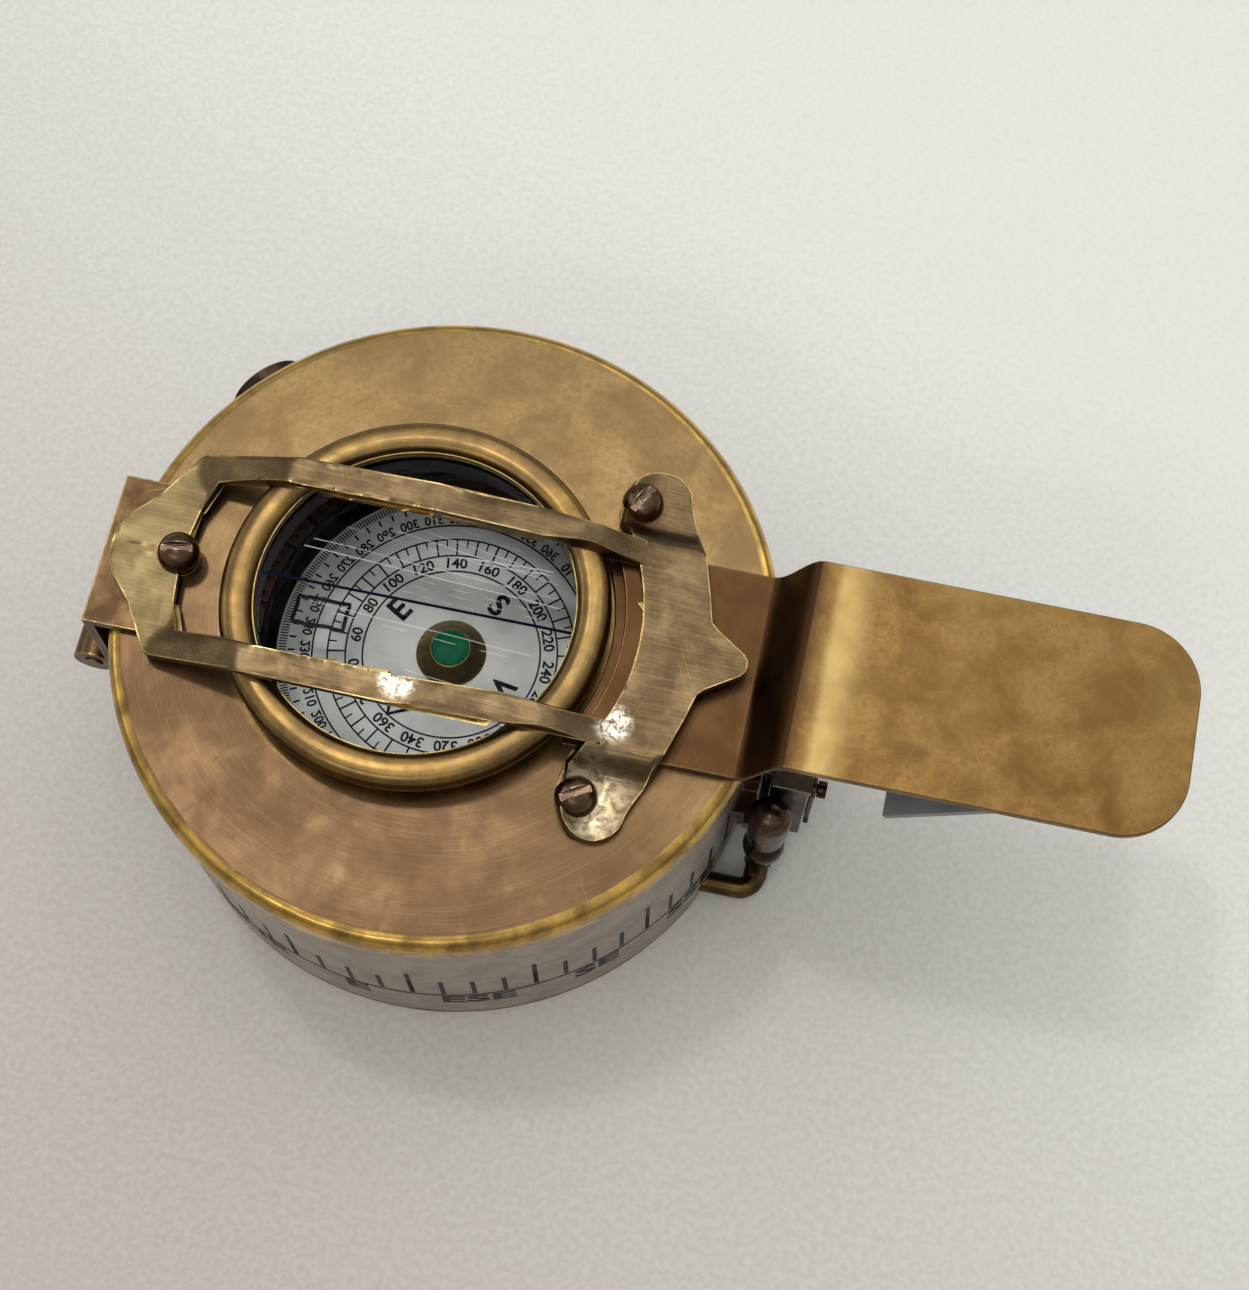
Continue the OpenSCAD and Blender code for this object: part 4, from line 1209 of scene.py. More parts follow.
def flat_ring(
    work: bmesh.types.BMesh, inner: float, outer: float, low: float, high: float, steps: int,
    centre: Point = (0.0, 0.0),
) -> None:
    """Add a closed ring of rectangular section to a mesh.

    Args:
        work: The mesh that gets it.
        inner: Inner radius in millimetres.
        outer: Outer radius in millimetres.
        low: Height of its underside.
        high: Height of its top.
        steps: How many parts it has.
        centre: Place of its axis.
    """
    rows = around(work, ((inner, low), (outer, low), (outer, high), (inner, high)), steps, centre)
    for step, row in enumerate(rows):
        after = rows[(step + 1) % steps]
        for i in range(4):
            j = (i + 1) % 4
            work.faces.new((row[i], after[i], after[j], row[j]))


def turned_piece(name: str, profile: Sequence[Point], steps: int = 96) -> bpy.types.Mesh:
    """Turn a profile that starts and ends on the axis into a closed piece.

    Args:
        name: The mesh's name.
        profile: Radius and height of each corner in millimetres.
        steps: How many parts it has.

    Returns:
        The mesh.
    """
    work = bmesh.new()
    rows = around(work, profile, steps)
    for step, row in enumerate(rows):
        after = rows[(step + 1) % steps]
        for i in range(len(profile) - 1):
            work.faces.new((row[i], after[i], after[i + 1], row[i + 1]))
    bmesh.ops.remove_doubles(work, verts=work.verts, dist=1e-7)
    bmesh.ops.recalc_face_normals(work, faces=work.faces)
    return Bench.mesh(name, work)


def ribbon(
    work: bmesh.types.BMesh, path: Sequence[Point], width: float, low: float, high: float,
    closed: bool = False,
) -> None:
    """Add a thin strip that follows a path on a level surface.

    Args:
        work: The mesh that gets it.
        path: Points along its middle in millimetres.
        width: Its width.
        low: Height of its underside.
        high: Height of its top.
        closed: Whether its end joins its start.
    """
    points = [Vector((*p, 0)) for p in path]
    rows = []
    count = len(points)
    for i, point in enumerate(points):
        before = points[i - 1] if i or closed else point
        after = points[(i + 1) % count] if i < count - 1 or closed else point
        along = (after - before).normalized()
        side = Vector((-along.y, along.x, 0)) * width / 2
        rows.append([
            work.verts.new((point + side * s + Vector((0, 0, z))) * MM)
            for s, z in ((-1, low), (1, low), (1, high), (-1, high))
        ])
    last = count if closed else count - 1
    for i in range(last):
        row, after = rows[i], rows[(i + 1) % count]
        for a in range(4):
            b = (a + 1) % 4
            work.faces.new((row[a], after[a], after[b], row[b]))
    if not closed:
        work.faces.new(rows[0])
        work.faces.new(rows[-1][::-1])
    bmesh.ops.recalc_face_normals(work, faces=work.faces)


@dataclass
class CaseParts:
    """The case with its scale band, pivot, hinge leaf, clamp bush and underside."""

    band_radius: float = 31.95
    print_depth: float = 0.05
    first_border: float = -107.4
    sector: float = 22.5
    tick_bottom: float = 9.2
    long_top: float = 17.6
    short_top: float = 14.6
    tick_width: float = 0.48
    letter_height: float = 3.0
    letter_width: float = 1.35
    letter_room: float = 8.6
    letter_z: float = 6.6
    groove_z: float = 8.6
    groove_width: float = 0.384
    groove_steps: int = 192
    first_point: float = -95.6
    points: tuple[str, ...] = (
        "E", "ESE", "SE", "SSE", "S", "SSW", "SW", "WSW", "W", "WNW", "NW", "NNW", "N", "NNE", "NE", "ENE",
    )

    def build(self, bench: Bench, made: Finishes, repeats: Repeats, press: LetterPress) -> None:
        """Dress the case and print its band.

        Args:
            bench: The bench tools.
            made: The finishes.
            repeats: The trees for what repeats.
            press: The letter cutter.
        """
        body = "case_body"
        bench.soften("case", body, "aged_brass", made.case, 0.1)
        bench.soften("scale_band", body, "silvered_brass", made.band, 0.15)
        bench.soften("hinge_case_leaf", body, "coppery_brass", made.hinge, 0.15)
        bench.soften("hinge_pin", body, "coppery_brass", made.hinge, 0.1)
        bench.soften("clamp_bush", body, "aged_brass", made.case, 0.15)
        bench.dress("pivot_post", made.cap)
        bench.dress("pivot_pin", made.steel)
        self._print_band(bench, made, repeats, press)

    def _print_band(self, bench: Bench, made: Finishes, repeats: Repeats, press: LetterPress) -> None:
        """Print the ticks, the groove and the compass points round the band.

        Args:
            bench: The bench tools.
            made: The finishes.
            repeats: The trees for what repeats.
            press: The letter cutter.
        """
        radius, depth = self.band_radius, self.print_depth
        rings = []
        for count, top in ((16, self.long_top), (64, self.short_top)):
            size = (depth, self.tick_width, top - self.tick_bottom)
            middle = (top + self.tick_bottom) / 2
            rings.append(
                repeats.ring("band_ticks", count, radius, size, middle, self.first_border, made.mark)
            )
        work = bench.gathered(rings)
        low, high = self.groove_z - self.groove_width / 2, self.groove_z + self.groove_width / 2
        flat_ring(work, radius - depth / 2, radius + depth / 2, low, high, self.groove_steps)
        for number, text in enumerate(self.points):
            angle = self.first_point + self.sector * number
            put = put_round(radius, angle, self.letter_z, depth)
            across = [place.x for place in press.shape(text)[0]]
            fitting = self.letter_room / ((max(across) - min(across)) * self.letter_height)
            press.stamp(work, text, (self.letter_height, min(self.letter_width, fitting)), put)
        bench.lay("band_print", work, "case_body", "black_mark", made.mark)


@dataclass
class DialParts:
    """The compass card with its printed circles, ticks, numbers, north arrow, cap and jewel."""

    top: float = 21.4
    thick: float = 0.03
    circles: tuple[float, ...] = (8.93, 10.65, 12.45, 14.0)
    circle_width: float = 0.18
    circle_steps: int = 160
    ticks: tuple[tuple[int, float, float, float], ...] = (
        (36, 10.65, 12.45, 0.19), (72, 11.6, 12.45, 0.16), (72, 15.75, 16.45, 0.2), (360, 16.6, 17.4, 0.13),
    )
    inner_radius: float = 9.8
    inner_size: Point = (1.15, 1.05)
    inner_zero: float = 240.0
    outer_radius: float = 14.72
    outer_size: Point = (1.05, 0.95)
    outer_zero: float = 60.5
    compass: tuple[tuple[str, float, float], ...] = (("E", 150.0, 7.2), ("S", 60.0, 7.0), ("W", -30.0, 6.3))
    letter_size: Point = (2.5, 1.0)
    north: float = 238.0
    arrow_tip: float = 8.9
    arrow_length: float = 3.5
    arrow_spread: float = 33.0
    arrow_line: float = 0.5
    arrow_foot: float = 0.16
    star_drop: float = 1.9
    star_arm: float = 0.4
    star_line: float = 0.14
    cap_profile: tuple[Point, ...] = (
        (3.55, 21.4), (3.5, 21.62), (2.15, 22.95), (2.02, 23.1), (1.94, 23.1), (1.9, 22.6),
    )
    jewel_radius: float = 1.9
    jewel_foot: float = 22.6
    jewel_edge: float = 23.0
    jewel_rise: float = 0.3

    def build(self, bench: Bench, made: Finishes, repeats: Repeats, press: LetterPress) -> None:
        """Dress the card and its cap, and print the dial.

        Args:
            bench: The bench tools.
            made: The finishes.
            repeats: The trees for what repeats.
            press: The letter cutter.
        """
        body = "card_body"
        bench.dress("compass_card", made.card)
        bench.dress("card_magnets", made.steel)
        name = "jewel_cap_turned"
        cap = turned_piece(name, ((0, self.top), *self.cap_profile, (0, self.jewel_foot)))
        bench.place(name, bench.softened(name, cap, 0.05), body, "bright_brass", made.cap, ("jewel_cap",))
        name = "jewel_domed"
        jewel = turned_piece(name, self._dome())
        bench.place(name, bench.softened(name, jewel, 0), body, "green_jewel", made.jewel, ("jewel",))
        work = self._tick_rings(bench, made, repeats)
        for radius in self.circles:
            half = self.circle_width / 2
            flat_ring(work, radius - half, radius + half, self.top, self.top + self.thick, self.circle_steps)
        for step, radius, zero, size, mirrored in (
            (20, self.inner_radius, self.inner_zero, self.inner_size, False),
            (10, self.outer_radius, self.outer_zero, self.outer_size, True),
        ):
            for number in range(step, 361, step):
                put = put_flat(radius, zero - number, self.top, self.thick)
                press.stamp(work, str(number), size, put, mirrored)
        for text, angle, radius in self.compass:
            press.stamp(work, text, self.letter_size, put_flat(radius, angle, self.top, self.thick))
        self._north_arrow(work)
        bench.lay("dial_print", work, body, "dial_print", made.print)

    def _dome(self) -> list[Point]:
        """Give the profile of the jewel, from its foot to the top of its dome.

        Returns:
            Radius and height of each corner in millimetres.
        """
        radius = self.jewel_radius
        dome = [(0, self.jewel_foot), (radius, self.jewel_foot), (radius, self.jewel_edge)]
        for angle in range(10, 90, 10):
            turn = math.radians(angle)
            dome.append((radius * math.cos(turn), self.jewel_edge + self.jewel_rise * math.sin(turn)))
        return [*dome, (0, self.jewel_edge + self.jewel_rise)]

    def _tick_rings(self, bench: Bench, made: Finishes, repeats: Repeats) -> bmesh.types.BMesh:
        """Set the dial's rings of ticks.

        Args:
            bench: The bench tools.
            made: The finishes.
            repeats: The trees for what repeats.

        Returns:
            The mesh of the print so far.
        """
        middle = self.top + self.thick / 2
        rings = []
        for count, start, end, width in self.ticks:
            size = (end - start, width, self.thick)
            radius = (start + end) / 2
            rings.append(repeats.ring("dial_ticks", count, radius, size, middle, self.outer_zero, made.print))
        return bench.gathered(rings)

    def _north_arrow(self, work: bmesh.types.BMesh) -> None:
        """Add the open triangle and the small star of the north mark.

        Args:
            work: The mesh of the print.
        """
        turn = math.radians(self.north)
        out = Vector((math.cos(turn), math.sin(turn)))
        side = Vector((-out.y, out.x))
        tip = out * self.arrow_tip
        reach = self.arrow_length * math.tan(math.radians(self.arrow_spread))
        foot = out * (self.arrow_tip - self.arrow_length)
        corners = [tuple(foot + side * reach), tuple(tip), tuple(foot - side * reach)]
        span = (self.top, self.top + self.thick)
        ribbon(work, corners, self.arrow_line, *span)
        ribbon(work, [corners[0], corners[2]], self.arrow_foot, *span)
        star = out * (self.arrow_tip - self.star_drop)
        for step in range(3):
            angle = turn + math.pi / 3 * step
            arm = Vector((math.cos(angle), math.sin(angle))) * self.star_arm
            ribbon(work, [tuple(star - arm), tuple(star + arm)], self.star_line, *span)


@dataclass
class BezelParts:
    """The turning bezel with its copper cells, its glass and the mark on it."""

    cells: int = 36
    cell_start: float = 4.0
    cell_inner: float = 18.85
    cell_outer: float = 20.05
    cell_low: float = 24.1
    cell_high: float = 24.22
    cell_arc: float = 2.85
    dots: int = 36
    dot_size: tuple[float, float, float] = (0.34, 0.34, 0.04)
    dot_turn: float = 1.6
    dot_out: float = 0.05
    mark_low: Point = (-15.6, -1.35)
    mark_high: Point = (-10.4, 1.45)
    mark_width: float = 0.4
    mark_span: Point = (25.5, 25.62)
    mark_sway: float = 0.08
    mark_step: float = 0.35

    def build(self, bench: Bench, made: Finishes, repeats: Repeats) -> None:
        """Dress the bezel and set the cells on its lip.

        Args:
            bench: The bench tools.
            made: The finishes.
            repeats: The trees for what repeats.
        """
        body = "bezel_body"
        bench.soften("bezel", body, "black_bronze", made.bezel, 0.1)
        bench.soften("glass_ring", body, "black_bronze", made.bezel, 0.08)
        bench.dress("glass_gasket", made.rubber)
        bench.dress("case_glass", made.glass)
        work = bmesh.new()
        ribbon(work, self._mark_path(), self.mark_width, *self.mark_span, closed=True)
        bench.lay("index_box_drawn", work, body, "black_mark", made.mark, ("index_box",))
        middle = (self.cell_inner + self.cell_outer) / 2
        size = (self.cell_outer - self.cell_inner, self.cell_arc, self.cell_high - self.cell_low)
        height = (self.cell_low + self.cell_high) / 2
        cells = repeats.ring("bezel_cells", self.cells, middle, size, height, self.cell_start, made.cells)
        bench.place("bezel_cells", cells, body, "coppery_brass", made.cells)
        dots = repeats.ring(
            "bezel_dots", self.dots, middle + self.dot_out, self.dot_size,
            self.cell_high + self.dot_size[2] / 2, self.cell_start + self.dot_turn, made.mark,
        )
        bench.place("bezel_dots", dots, body, "black_mark", made.mark)

    def _mark_path(self) -> list[Point]:
        """Give the slightly wavy line of the hand-drawn index box, once round.

        Returns:
            Its points in millimetres.
        """
        (x0, y0), (x1, y1) = self.mark_low, self.mark_high
        corners = ((x0, y0), (x1, y0), (x1, y1), (x0, y1))
        path = []
        for (ax, ay), (bx, by) in zip(corners, (*corners[1:], corners[0])):
            steps = int(math.hypot(bx - ax, by - ay) / self.mark_step)
            for step in range(steps):
                x, y = ax + (bx - ax) * step / steps, ay + (by - ay) * step / steps
                sway = noise.noise(Vector((x * 1.3, y * 1.3, 2))) * self.mark_sway * 2
                path.append((x + sway * (ax == bx), y + sway * (ay == by)))
        return path


@dataclass
class LidParts:
    """The lid with its raised bead, window glass, hairline and hinge leaf."""

    window: Point = (-2.6, 0.0)
    glass_top: float = 34.0
    edge_radii: Point = (15.34, 15.44)
    edge_rise: Point = (0.72, 0.86)
    edge_steps: int = 160
    bead_middle: float = 17.0
    bead_half: float = 1.7
    bead_power: float = 2.8
    mark_thick: float = 0.01
    scratch_steps: int = 7
    scratch_sway: float = 0.12
    broken_width: float = 0.05
    scratches: tuple[tuple[float, float, float, float, float], ...] = (
        (-14.5, 3.6, 11.2, 2.2, 0.07), (-13.8, 4.4, 10.5, 3.1, 0.05), (-6.0, 6.9, 10.2, 4.6, 0.06),
        (-3.5, 7.4, 9.0, 5.4, 0.05), (-11.0, 6.2, 2.0, 5.3, 0.04), (-8.0, 9.6, 6.0, 7.2, 0.04),
        (-12.5, -1.9, 9.5, -3.0, 0.05), (-10.0, -2.6, 7.0, -3.6, 0.04), (-2.0, -6.8, 8.0, -7.9, 0.05),
        (1.4, 5.5, 9.6, 5.8, 0.1), (2.2, 5.1, 9.4, 5.35, 0.07), (-3.6, 1.7, 9.6, 0.7, 0.045),
        (-2.8, 2.3, 8.4, 1.5, 0.045), (-4.2, 0.9, 3.0, 0.4, 0.04),
    )
    # Painted glint: pale dashes on the glass below the lower bar's edge, standing in for light caught there.
    painted_glints: tuple[tuple[float, float, float], ...] = (
        (1.5, 2.3, 0.26), (2.6, 3.7, 0.34), (4.2, 4.5, 0.2), (4.9, 5.7, 0.22), (6.0, 6.3, 0.18),
        (6.7, 7.1, 0.16),
    )
    painted_glint_y: float = -9.2

    def _flatten_bead(self, vert: bmesh.types.BMVert) -> None:
        """Move a corner of the bead's round top out to a flatter curve of the same height.

        Args:
            vert: The corner.
        """
        x, y, z = (part / MM for part in vert.co)
        across = (math.hypot(x - self.window[0], y - self.window[1]) - self.bead_middle) / self.bead_half
        if z > self.glass_top + 0.02 and abs(across) < 1:
            vert.co.z = (self.glass_top + self.bead_half * (1 - abs(across) ** self.bead_power) ** 0.5) * MM

    def build(self, bench: Bench, made: Finishes) -> None:
        """Dress the lid and its window.

        Args:
            bench: The bench tools.
            made: The finishes.
        """
        body = "lid_body"
        work = bench.merged("lid_shell")
        for vert in work.verts:
            self._flatten_bead(vert)
        shell = bench.softened("lid_shell_soft", bench.mesh("lid_shell", work), 0.06, 40)
        bench.place("lid_shell_soft", shell, body, "aged_brass", made.lid, ("lid_shell",))
        work = bmesh.new()
        low, high = (self.glass_top + rise for rise in self.edge_rise)
        flat_ring(work, *self.edge_radii, low, high, self.edge_steps, self.window)
        bench.lay("window_edge", work, body, "aged_brass", made.tongue)
        bench.soften("hinge_lid_leaf", body, "coppery_brass", made.hinge, 0.15)
        bench.soften("lid_glass_ring", body, "black_bronze", made.bezel, 0.06)
        bench.dress("lid_glass", made.glass)
        bench.dress("hairline", made.line)
        self._scratch_glass(bench, made)

    def _scratch_glass(self, bench: Bench, made: Finishes) -> None:
        """Lay the pale scratches, and the broken painted glint along the lower bar's edge, on the glass.

        Args:
            bench: The bench tools.
            made: The finishes.
        """
        work = bmesh.new()
        span = (self.glass_top, self.glass_top + self.mark_thick)
        steps = self.scratch_steps
        for x0, y0, x1, y1, width in self.scratches:
            path = []
            for step in range(steps + 1):
                share = step / steps
                sway = noise.noise(Vector((x0 + share * 5, y0, width * 90))) * self.scratch_sway
                path.append((x0 + (x1 - x0) * share, y0 + (y1 - y0) * share + sway))
            for start in range(0, steps, 2 if width < self.broken_width else 1):
                ribbon(work, path[start:start + 2], width, *span)
        # The painted glint: a broken row of pale dashes.
        y = self.painted_glint_y
        for start, end, width in self.painted_glints:
            ribbon(work, [(start, y), ((start + end) / 2, y + 0.09), (end, y + 0.02)], width, *span)
        bench.lay("glass_scratches_and_painted_glints", work, "lid_body", "clear_glass", made.dust)


@dataclass
class GuardParts:
    """The guard frame over the window, bent from one sheet, with its three screws.

    A field that ends in _z is a height of the sheet's underside. A band gives where a bend starts
    and ends, along the compass or across it.
    """

    screws: tuple[str, ...] = ("guard_screw_left", "guard_screw_front", "guard_screw_back")
    tip: float = -32.9
    bead_left: float = -21.3
    bead_right: float = 16.1
    window_x: float = -2.6
    arc: float = 21.7
    bar_out: float = 11.2
    bar_in: float = 8.4
    shift: float = 0.4
    ear: Point = (18.14, 16.03)
    ear_radius: float = 3.0
    wall: float = 0.9
    plate_z: float = 32.4
    bars_z: float = 36.1
    anchor_z: float = 33.7
    ear_z: float = 31.4
    rise_band: Point = (-24.3, -17.2)
    rise_shares: Point = (0.7, 0.3)
    corner_band: Point = (5.5, 9.5)
    corner_back: float = 2.4
    fall_band: Point = (11.6, 18.6)
    ear_band: Point = (10.5, 13.1)
    dent: float = 0.05
    blow: float = 0.1
    blow_x: float = 12.0
    blow_band: Point = (-12.5, -15.0)
    edge_foot: float = 35.1
    edge_wall: float = 0.7
    edge_ends: Point = (-14.3, 8.1)
    edge_steps: tuple[float, float, float] = (0.01, 0.11, -0.29)
    edge_drop: float = 0.15
    rounding: float = 0.14
    grain: float = 0.5
    grid_low: Point = (-33.5, -20.0)
    grid_size: Point = (64.0, 40.0)

    def build(self, bench: Bench, made: Finishes) -> None:
        """Bend the frame, set the bars' turned-down edges and dress the screws.

        Args:
            bench: The bench tools.
            made: The finishes.
        """
        body = "lid_body"
        name = "guard_frame_bent"
        sheet = bench.softened(name, self._sheet(bench), self.rounding, 40, self.wall)
        bench.place(name, sheet, body, "bronzed_brass", made.frame, ("guard_frame",))
        work = bmesh.new()
        places = (self.edge_ends[0], self.window_x, self.edge_ends[1])
        inner = [(x, self.bar_in + step) for x, step in zip(places, self.edge_steps)]
        outer = [(x, y + self.edge_wall) for x, y in inner][::-1]
        top = self.bars_z + self.wall - self.edge_drop
        for side in (-1, 1):
            slab(work, [(x, y * side) for x, y in (*inner, *outer)], self.edge_foot, top)
        edges = bench.softened("bar_edges", bench.mesh("bar_edges", work), 0.12)
        # The turned-down edges take the lighter gold, which is painted light.
        bench.place("bar_edges", edges, body, "bronzed_brass", made.gold_edge_painted_light)
        for node in self.screws:
            bench.soften(node, body, "coppery_brass", made.screw, 0.07)

    def _frame_outline(self, side: int) -> list[Point]:
        """Give the plan of half the left plate and one bar, on the side of the middle that side names.

        Args:
            side: 1 for the back half, -1 for the front half.

        Returns:
            The corners of the plan in millimetres.
        """
        middle = self.shift * side
        left, right, arc_x = self.bead_left, self.bead_right, self.window_x + self.arc
        out, inner, window = self.bar_out, self.bar_in, self.window_x
        points = (
            (self.tip, middle), (self.tip + 0.1, 1.6 + middle), (self.tip + 0.9, 3.2 + middle),
            (self.tip + 3.2, 5.7 + middle), (left - 5.6, out - 0.9 + middle),
            (left - 5.0, out - 0.55 + middle), (left + 5, out), (window, out + 0.1),
            (right - 8.6, out - 0.2), (arc_x - 1.2, out - 0.7),
            (arc_x - 0.2, inner - 0.4), (right - 8, inner - 0.3), (window, inner + 0.1), (left + 6, inner),
            (left - 3, inner - 0.6 + middle), (left - 4.1, inner - 3.6 + middle), (left - 4.7, middle),
        )
        return [(x, y * side) for x, y in points]

    def _anchor_outline(self, side: int) -> list[Point]:
        """Give the plan of half the anchor plate, on the side of the middle that side names.

        Args:
            side: 1 for the back half, -1 for the front half.

        Returns:
            The corners of the plan in millimetres.
        """
        arc = [math.radians(35.4 * step / 14) for step in range(15)]
        points = [(self.window_x + self.arc * math.cos(a), self.arc * math.sin(a)) for a in arc]
        x, y = self.ear
        points += [
            (x + self.ear_radius * math.cos(math.radians(a)), y + self.ear_radius * math.sin(math.radians(a)))
            for a in range(180, -1, -15)
        ]
        points += [
            (x + 4.2, y - 2.9), (x + 5.5, y - 5.9), (x + 6.6, 6.4), (x + 7.3, 3.7), (x + 7.9, 3.1),
            (x + 10.9, 1.1), (x + 11.3, 0.6), (x + 11.4, 0),
        ]
        return [(px, py * side) for px, py in points]

    def height(self, x: float, y: float) -> float:
        """Give the height of the sheet's underside over a point.

        Args:
            x: Place along the compass in millimetres.
            y: Place across it in millimetres.

        Returns:
            The height in millimetres.
        """
        across = abs(y)
        start, end = self.rise_band
        start -= self.corner_back * eased(*self.corner_band, across)
        even = min(max((x - start) / (end - start), 0.0), 1.0)
        rise = self.rise_shares[0] * even + self.rise_shares[1] * eased(start, end, x)
        level = self.plate_z + (self.bars_z - self.plate_z) * rise
        if x > 0:
            level = self.bars_z + (self.anchor_z - self.bars_z) * eased(*self.fall_band, x)
            level += (self.ear_z - self.anchor_z) * eased(*self.ear_band, across)
        dents = noise.noise(Vector((x * 0.5, y * 0.5, 3))) * self.dent
        if y < self.blow_band[0] and x > self.blow_x:
            blows = noise.noise(Vector((x * 1.1, y * 1.1, 9))) * self.blow
            dents += blows * eased(*self.blow_band, y)
        return level + dents

    def _sheet(self, bench: Bench) -> bpy.types.Mesh:
        """Cut the frame's plan from a fine grid and bend it.

        Args:
            bench: The bench tools.

        Returns:
            The top of the sheet as an open mesh.
        """
        outlines = [plan(side) for plan in (self._frame_outline, self._anchor_outline) for side in (1, -1)]
        corners, faces = [], []
        for outline in outlines:
            pairs = zip(outline, [*outline[1:], outline[0]])
            if sum(a[0] * b[1] - b[0] * a[1] for a, b in pairs) < 0:
                outline.reverse()
            faces.append(list(range(len(corners), len(corners) + len(outline))))
            corners += [Vector(point) for point in outline]
        columns, rows = (int(size / self.grain) for size in self.grid_size)
        left, low = self.grid_low
        corners += [
            Vector((left + self.grain * (i + 0.25 * (j % 2)), low + self.grain * j))
            for i in range(columns) for j in range(rows)
        ]
        points, _, cells, _, _, sources = delaunay_2d_cdt(corners, [], faces, 1, 1e-4)
        work = bmesh.new()
        verts = [work.verts.new(Vector((p.x, p.y, self.height(p.x, p.y) + self.wall)) * MM) for p in points]
        for cell, source in zip(cells, sources):
            if not source:
                continue
            face = work.faces.new([verts[i] for i in cell])
            face.normal_update()
            if face.normal.z < 0:
                face.normal_flip()
        loose = [v for v in work.verts if not v.link_faces]
        bmesh.ops.delete(work, geom=loose, context="VERTS")
        return bench.mesh("guard_sheet", work)


@dataclass
class TongueParts:
    """The tongue of the lid with its packing, its bracket and the folding leaf under it."""

    def build(self, bench: Bench, made: Finishes) -> None:
        """Dress the tongue and what it carries.

        Args:
            bench: The bench tools.
            made: The finishes.
        """
        for node, width in (
            ("tongue", 0.15), ("tongue_packing", 0.1), ("leaf_bracket", 0.1), ("leaf_pin", 0.06),
        ):
            bench.soften(node, "lid_body", "aged_brass", made.tongue, width)
        bench.soften("leaf", "leaf_body", "grey_sheet", made.leaf, 0.1)


@dataclass
class PrismParts:
    """The prism with its slide, its box, its lens and its shade lever."""

    def build(self, bench: Bench, made: Finishes) -> None:
        """Dress the prism group.

        Args:
            bench: The bench tools.
            made: The finishes.
        """
        for node in ("prism_bracket", "slide_screws"):
            bench.soften(node, "case_body", "black_bronze", made.prism, 0.1)
        for node in ("prism_slide", "prism_pin"):
            bench.soften(node, "slide_body", "black_bronze", made.prism, 0.1)
        bench.soften("prism_box", "prism_body", "black_bronze", made.prism, 0.12)
        bench.soften("prism_cap", "prism_body", "bare_steel", made.prism_top, 0.12)
        bench.dress("prism", made.glass)
        bench.dress("eye_lens", made.glass)
        bench.soften("lever_screw", "prism_body", "coppery_brass", made.post, 0.06)
        bench.soften("shade_lever", "lever_body", "black_bronze", made.prism, 0.1)


@dataclass
class RingParts:
    """The turned posts and the thumb ring under the case, and the clamp screw."""

    def build(self, bench: Bench, made: Finishes) -> None:
        """Dress the ring, its posts and the clamp screw.

        Args:
            bench: The bench tools.
            made: The finishes.
        """
        # The posts and the lever screw take the near-black finish that holds painted shade.
        bench.soften("ring_posts", "case_body", "black_bronze", made.post, 0.05)
        bench.soften("ring_rivets", "case_body", "black_bronze", made.ring, 0.05)
        bench.soften("thumb_ring", "ring_body", "aged_brass", made.ring, 0)
        bench.soften("clamp_screw", "clamp_body", "bronzed_brass", made.knob, 0.05)


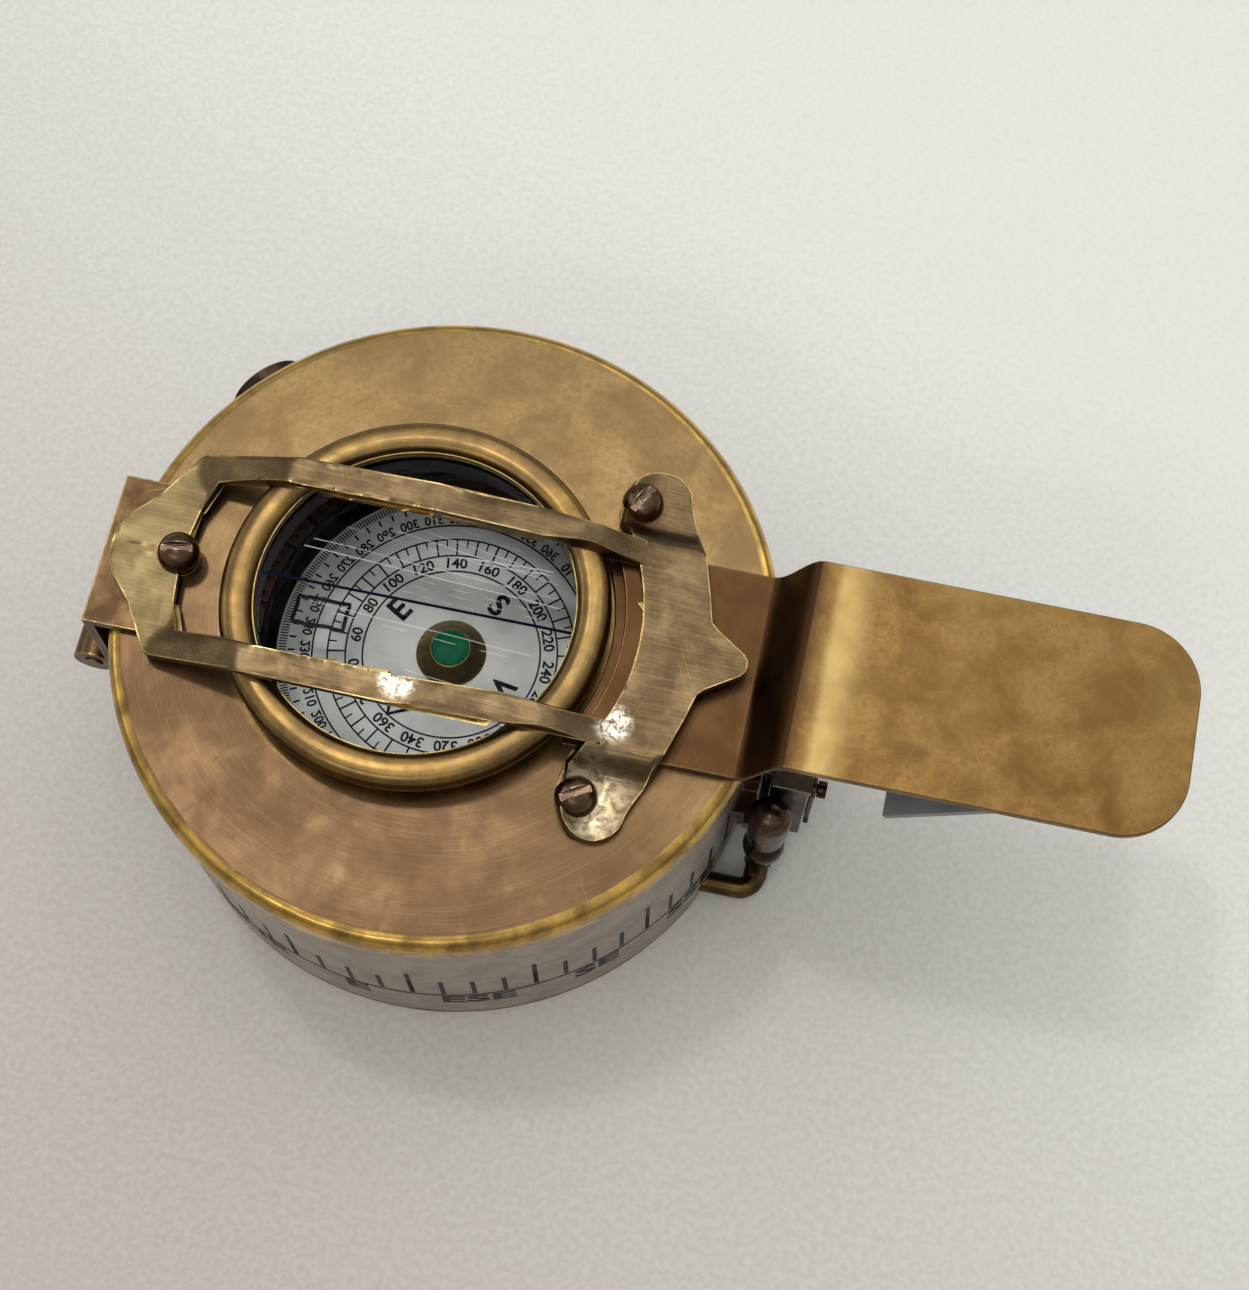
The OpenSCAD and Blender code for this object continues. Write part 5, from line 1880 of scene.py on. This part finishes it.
@dataclass
class Studio:
    """The pale tabletop and soft light of the photograph. Lengths are metres.

    Each lamp has the X, Y and Z of its place, its width, its depth and its power in watts.
    """

    table: float = 3.0
    sky: float = 0.75
    horizon: float = 0.3
    tone: Colour = (1.0, 0.99, 0.97)
    box_size: float = 1.3
    box_place: tuple[float, float, float] = (0.32, 0.9, 1.4)
    box_power: float = 5.3
    lamps: tuple[tuple[float, float, float, float, float, float], ...] = (
        (-0.38, 0.33, 1.4, 0.11, 0.14, 2.3), (-0.05, 0.0, 1.45, 1.1, 0.16, 2.6),
        (-0.3, -1.1, 1.2, 0.9, 0.35, 2.4), (-1.3, 0.15, 0.5, 1.0, 0.5, 1.6),
    )

    def build(self, made: Finishes) -> None:
        """Lay the table and hang the lights.

        Args:
            made: The finishes.
        """
        bpy.context.scene.view_settings.view_transform = "Standard"
        half = self.table / 2
        mesh = bpy.data.meshes.new("tabletop")
        mesh.from_pydata(
            [(-half, -half, 0), (half, -half, 0), (half, half, 0), (-half, half, 0)], [], [(0, 1, 2, 3)]
        )
        mesh.materials.append(made.table)
        table = bpy.data.objects.new("tabletop", mesh)
        bpy.context.scene.collection.objects.link(table)
        self._light("soft_box", self.box_size, self.box_size, self.box_place, self.box_power)
        for number, (x, y, z, width, depth, power) in enumerate(self.lamps):
            self._light(f"lamp_{number}", width, depth, (x, y, z), power)
        world = bpy.data.worlds.new("sky")
        bpy.context.scene.world = world
        world.use_nodes = True
        sheet = Sheet(world.node_tree)
        height = sheet.split(sheet.add("ShaderNodeTexCoord").outputs["Generated"])[2]
        strength = sheet.window(height, 0.1, 0.9, self.horizon, self.sky)
        background = world.node_tree.nodes["Background"]
        sheet.feed(background, {"Color": (*self.tone, 1), "Strength": strength})
        log.info("studio: tabletop, soft box and %d lamps", len(self.lamps))

    @staticmethod
    def _light(
        name: str, width: float, depth: float, place: tuple[float, float, float], power: float
    ) -> None:
        """Hang a flat light that faces the compass.

        Args:
            name: The light's name.
            width: Its width in metres.
            depth: Its depth in metres.
            place: Where it hangs, in metres.
            power: Its power in watts.
        """
        data = bpy.data.lights.new(name, "AREA")
        data.shape, data.size, data.size_y, data.energy = "RECTANGLE", width, depth, power
        lamp = bpy.data.objects.new(name, data)
        lamp.location = place
        lamp.rotation_euler = Vector(place).to_track_quat("Z", "Y").to_euler()
        bpy.context.scene.collection.objects.link(lamp)


@dataclass(frozen=True)
class PhotoCamera:
    """The camera that took the photograph, solved for a lid of the real size.

    Lengths are in millimetres and angles in degrees.
    """

    image_height: float = 1290
    focal_px: float = 2200
    sensor: float = 36
    elevation: float = 69.344
    roll: float = 0.734
    turn: float = 11.289
    distance: float = 241.09
    aside: float = 17.49
    above: float = 8.45

    def place(self) -> bpy.types.Object:
        """Make the camera and set it as the scene's.

        Returns:
            The camera object.
        """
        data = bpy.data.cameras.new("photo_camera")
        data.sensor_width = self.sensor
        data.lens = self.focal_px / self.image_height * self.sensor
        data.clip_start, data.clip_end = 0.01, 10
        camera = bpy.data.objects.new("photo_camera", data)
        bpy.context.scene.collection.objects.link(camera)
        el, roll = math.radians(self.elevation), math.radians(self.roll)
        back = Vector((0, -math.cos(el), math.sin(el)))
        right, up = Vector((1, 0, 0)), back.cross(Vector((1, 0, 0)))
        right, up = (
            right * math.cos(roll) + up * math.sin(roll),
            up * math.cos(roll) - right * math.sin(roll),
        )
        axes = Matrix((right, up, back)).transposed()
        place = (back * self.distance + right * self.aside + up * self.above) * MM
        turn = Matrix.Rotation(math.radians(self.turn), 4, "Z")
        camera.matrix_world = turn @ Matrix.Translation(place) @ axes.to_4x4()
        bpy.context.scene.camera = camera
        return camera


def main() -> None:
    """Build the scene: finishes first, then the compass from the case outwards, then the studio."""
    logging.basicConfig(level=logging.INFO, format="%(name)s: %(message)s")
    made, bench, repeats, press = Finishes(), Bench(), Repeats(), LetterPress()
    CaseParts().build(bench, made, repeats, press)
    DialParts().build(bench, made, repeats, press)
    BezelParts().build(bench, made, repeats)
    LidParts().build(bench, made)
    GuardParts().build(bench, made)
    TongueParts().build(bench, made)
    PrismParts().build(bench, made)
    RingParts().build(bench, made)
    Studio().build(made)
    PhotoCamera().place()


if __name__ == "__main__":
    main()
